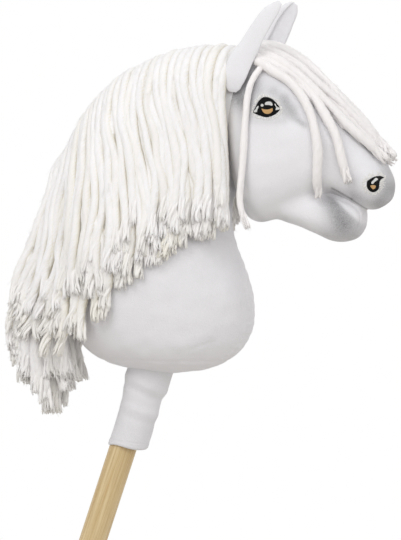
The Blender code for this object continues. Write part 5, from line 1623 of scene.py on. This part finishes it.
# The places in the photograph along each strand
FORELOCK_LINES = {
    "a": pairs(
        253.9, 60, 262, 63, 270, 69, 278, 73.5, 287, 79, 295, 87, 302, 96, 307.5, 106, 312, 118, 315, 131,
        317.5, 145, 318, 158, 317, 172, 317, 185, 318.5, 197,
    ),
    "b": pairs(
        253.9, 56.8, 263, 59, 275, 64, 287, 70, 298, 78, 307, 87, 315, 98, 321, 108, 327, 118, 333, 129,
        337.5, 140, 340, 152, 343, 164, 346, 175, 348, 183,
    ),
    "c": pairs(
        240, 52.5, 253.9, 53.5, 265, 55, 280, 60, 293, 67, 304, 76, 314, 86, 324, 97, 332, 108, 339, 119,
        347, 129, 356, 136.5, 366, 142.5, 376, 149, 385, 157, 391, 164,
    ),
    "d": pairs(
        240, 49.8, 253.9, 50.3, 268, 51, 284, 55, 299, 64, 313, 76, 326, 89, 338, 101, 348, 111, 358, 121,
        368, 130, 378, 139, 387, 147, 395, 155,
    ),
    "e": pairs(
        240, 47.2, 253.9, 47, 271, 46, 288, 51, 303, 60, 318, 71, 331, 84, 342, 97, 352, 108.5, 363, 119.5,
        374, 130, 385, 139.5, 394, 147,
    ),
}
# The two lines that a strand runs between, its place between them at first and at its end, reach, lift,
# radius, depth of painted shade, and how far back from its end it comes apart. The thin ones fill the gaps.
FORELOCK_STRANDS = (
    ("a", "a", 0.0, 0.0, 1.00, 0.0044, 0.0047, 0.45, 0.007),
    ("b", "b", 0.0, 0.0, 1.00, 0.0044, 0.0046, 0.45, 0.007),
    ("c", "c", 0.0, 0.0, 0.97, 0.0068, 0.0045, 0.45, 0.011),
    ("d", "d", 0.0, 0.0, 0.98, 0.0080, 0.0045, 0.40, 0.011),
    ("e", "e", 0.0, 0.0, 0.98, 0.0084, 0.0045, 0.40, 0.011),
    ("a", "b", 0.5, 1.0, 0.56, 0.0024, 0.0034, 0.60, 0.0),
    ("b", "c", 0.5, 1.0, 0.66, 0.0026, 0.0036, 0.60, 0.0),
    ("c", "d", 0.45, 0.45, 0.86, 0.0036, 0.0036, 0.60, 0.0),
    ("d", "e", 0.5, 0.5, 0.94, 0.0038, 0.0036, 0.60, 0.0),
    ("c", "c", 0.0, 0.0, 0.90, 0.0034, 0.0034, 0.60, 0.0),
)
FORELOCK_STEPS = 60
# The lift of the thick strands at the poll, where they leave the crest
POLL_LIFT = 0.0072
# Two fillers run along the ridge of the face: the lift and the place beside the middle plane of each
RIDGE_FILLERS = ((0.0034, 0.0), (0.0084, 0.0012))
RIDGE_FROM, RIDGE_TO = 0.13, 0.76
# The fillers' radius and their painted shade
RIDGE_RADIUS, RIDGE_SHADE = 0.0036, 0.5
CHEEK_STRAND = pairs(
    261, 67, 252, 80, 247.5, 96, 246, 112, 244.5, 130, 243.5, 150, 242, 170, 240, 190, 240, 204, 243, 216,
    247.5, 228,
)
CHEEK_STEPS = 80
CHEEK_LIFT = 0.0038
# The cheek strand's radius, painted shade and fray
CHEEK_RADIUS, CHEEK_SHADE, CHEEK_FRAY = 0.0033, 0.35, 0.010
# A strand's place on the skin is sought in rounds: from a first aim beside the place in the photograph, by
# a step towards the horse where the aim misses it, or else by a share of what is still off
AIM_ROUNDS = 14
AIM_FIRST, AIM_STEP, AIM_SHARE = (-4.3, 6.5), (-1.1, 1.5), 0.7


def laid_where_seen(across, down, lift):
    """The point this far over the skin that is seen at a place in the photograph."""
    target = np.array([across, down])
    aim = target + AIM_FIRST
    for _ in range(AIM_ROUNDS):
        hit = first_hit(*aim, (SKIN_TREE, NECK_SKIN_TREE))
        if hit is None:
            aim = aim + AIM_STEP
            continue
        place = hit[0] + hit[1] * lift
        aim = aim + AIM_SHARE * (target - seen_at(place))
    return place


def beside_ridge(path, lifts):
    """A strand that runs close to the middle plane, laid again in one even curve away from it."""
    progress = np.linspace(0, 1, len(path))
    path[:, 1] = np.polyval(np.polyfit(progress, path[:, 1], 2), progress)
    for i, lift in enumerate(lifts):
        skin, normal = SKIN_TREE.find_nearest(Vector(path[i]))[:2]
        if normal.z > 0.0 and (Vector(path[i]) - skin).length < 0.02:
            path[i] = np.array(skin) + np.array(normal) * lift
    return evened(path[None], 8)[0]


def add_forelock():
    """Thick strands from the poll over the forehead and nose. Two on each side hang over the cheek."""
    rng = np.random.default_rng(101)
    progress = np.linspace(0, 1, FORELOCK_STEPS)
    near, far = [], []
    for one, other, between, ending, reach, lift, radius, tone, fray in FORELOCK_STRANDS:
        aside = between + (ending - between) * smoothstep(progress, 0.55, 1.0)[:, None]
        first, second = (along(FORELOCK_LINES[line], progress * reach) for line in (one, other))
        at_poll = POLL_LIFT * (1 - smoothstep(progress, 0.0, 0.2)) if fray else 0.0
        lifts = np.full(FORELOCK_STEPS, np.maximum(lift, at_poll))
        spots = first * (1 - aside) + second * aside
        path = np.array([laid_where_seen(*spot, rise) for spot, rise in zip(spots, lifts)])
        path = evened(path[None], 8)[0]
        if one in "cde":
            path = beside_ridge(path, lifts)
        near.append((path, radius, tone, fray))
        mirrored = path * [1, -1, 1]
        wave = rng.uniform(0, 2 * math.pi, 2)
        mirrored[:, 0] += 0.0025 * np.sin(progress * 4 + wave[0]) * progress
        mirrored[:, 2] -= 0.0015 * np.sin(progress * 5 + wave[1]) ** 2 * progress
        far.append((mirrored, radius, tone, fray))
    x, z = along(HEAD_SECTIONS, RIDGE_FROM + (RIDGE_TO - RIDGE_FROM) * progress)[:, :2].T
    level = np.zeros(FORELOCK_STEPS)
    out = unit(np.stack([-np.gradient(z), level, np.gradient(x)], axis=1))
    for lift, shift in RIDGE_FILLERS:
        path = np.stack([x, level, z], axis=1) + out * lift + [0, shift, 0]
        near.append((path, RIDGE_RADIUS, RIDGE_SHADE, 0.0))
    for name, strands, locks, seed in (("near", near, ("ridge", "right_1", "right_2", "right_3"), 102),
                                       ("far", far, ("left_1", "left_2", "left_3"), 103)):
        yarn = Yarn()
        for i, (path, radius, tone, fray) in enumerate(strands):
            yarn.add_strands(path[None], radius, np.full((1, FORELOCK_STEPS), tone), seed * 100 + i, fray)
        nodes = ["forelock_" + lock for lock in locks]
        add_yarn(f"forelock_{name}_side", yarn, FORELOCK_YARN, *nodes)


def add_cheek_strand():
    """The one strand that has slipped down the right cheek, and hangs straight below it."""
    line = along(CHEEK_STRAND, np.linspace(0, 1, CHEEK_STEPS))
    path = np.array([laid_where_seen(*spot, CHEEK_LIFT) for spot in line])
    beside = -np.maximum.accumulate(-path[:, 1])
    camera = CAMERA_AT - HEAD_AT
    for i, spot in enumerate(line):
        way = way_to(*spot)
        path[i] = camera + way * (beside[i] - camera[1]) / way[1]
    yarn = Yarn()
    tones = np.full((1, CHEEK_STEPS), CHEEK_SHADE)
    yarn.add_strands(evened(path[None], 10), CHEEK_RADIUS, tones, 99, CHEEK_FRAY)
    add_yarn("cheek_yarn", yarn, FORELOCK_YARN, "cheek_strand")


add_forelock()
add_cheek_strand()

# Parts that hardly show keep their built shape
for node, material in (("mane_tape", plain_material("woven_tape", srgb(232, 226, 212), 700.0)),
                       ("stick_pocket", plain_material("pocket_lining", srgb(224, 222, 220), 500.0))):
    for slot in bpy.data.objects[node].material_slots:
        slot.material = material
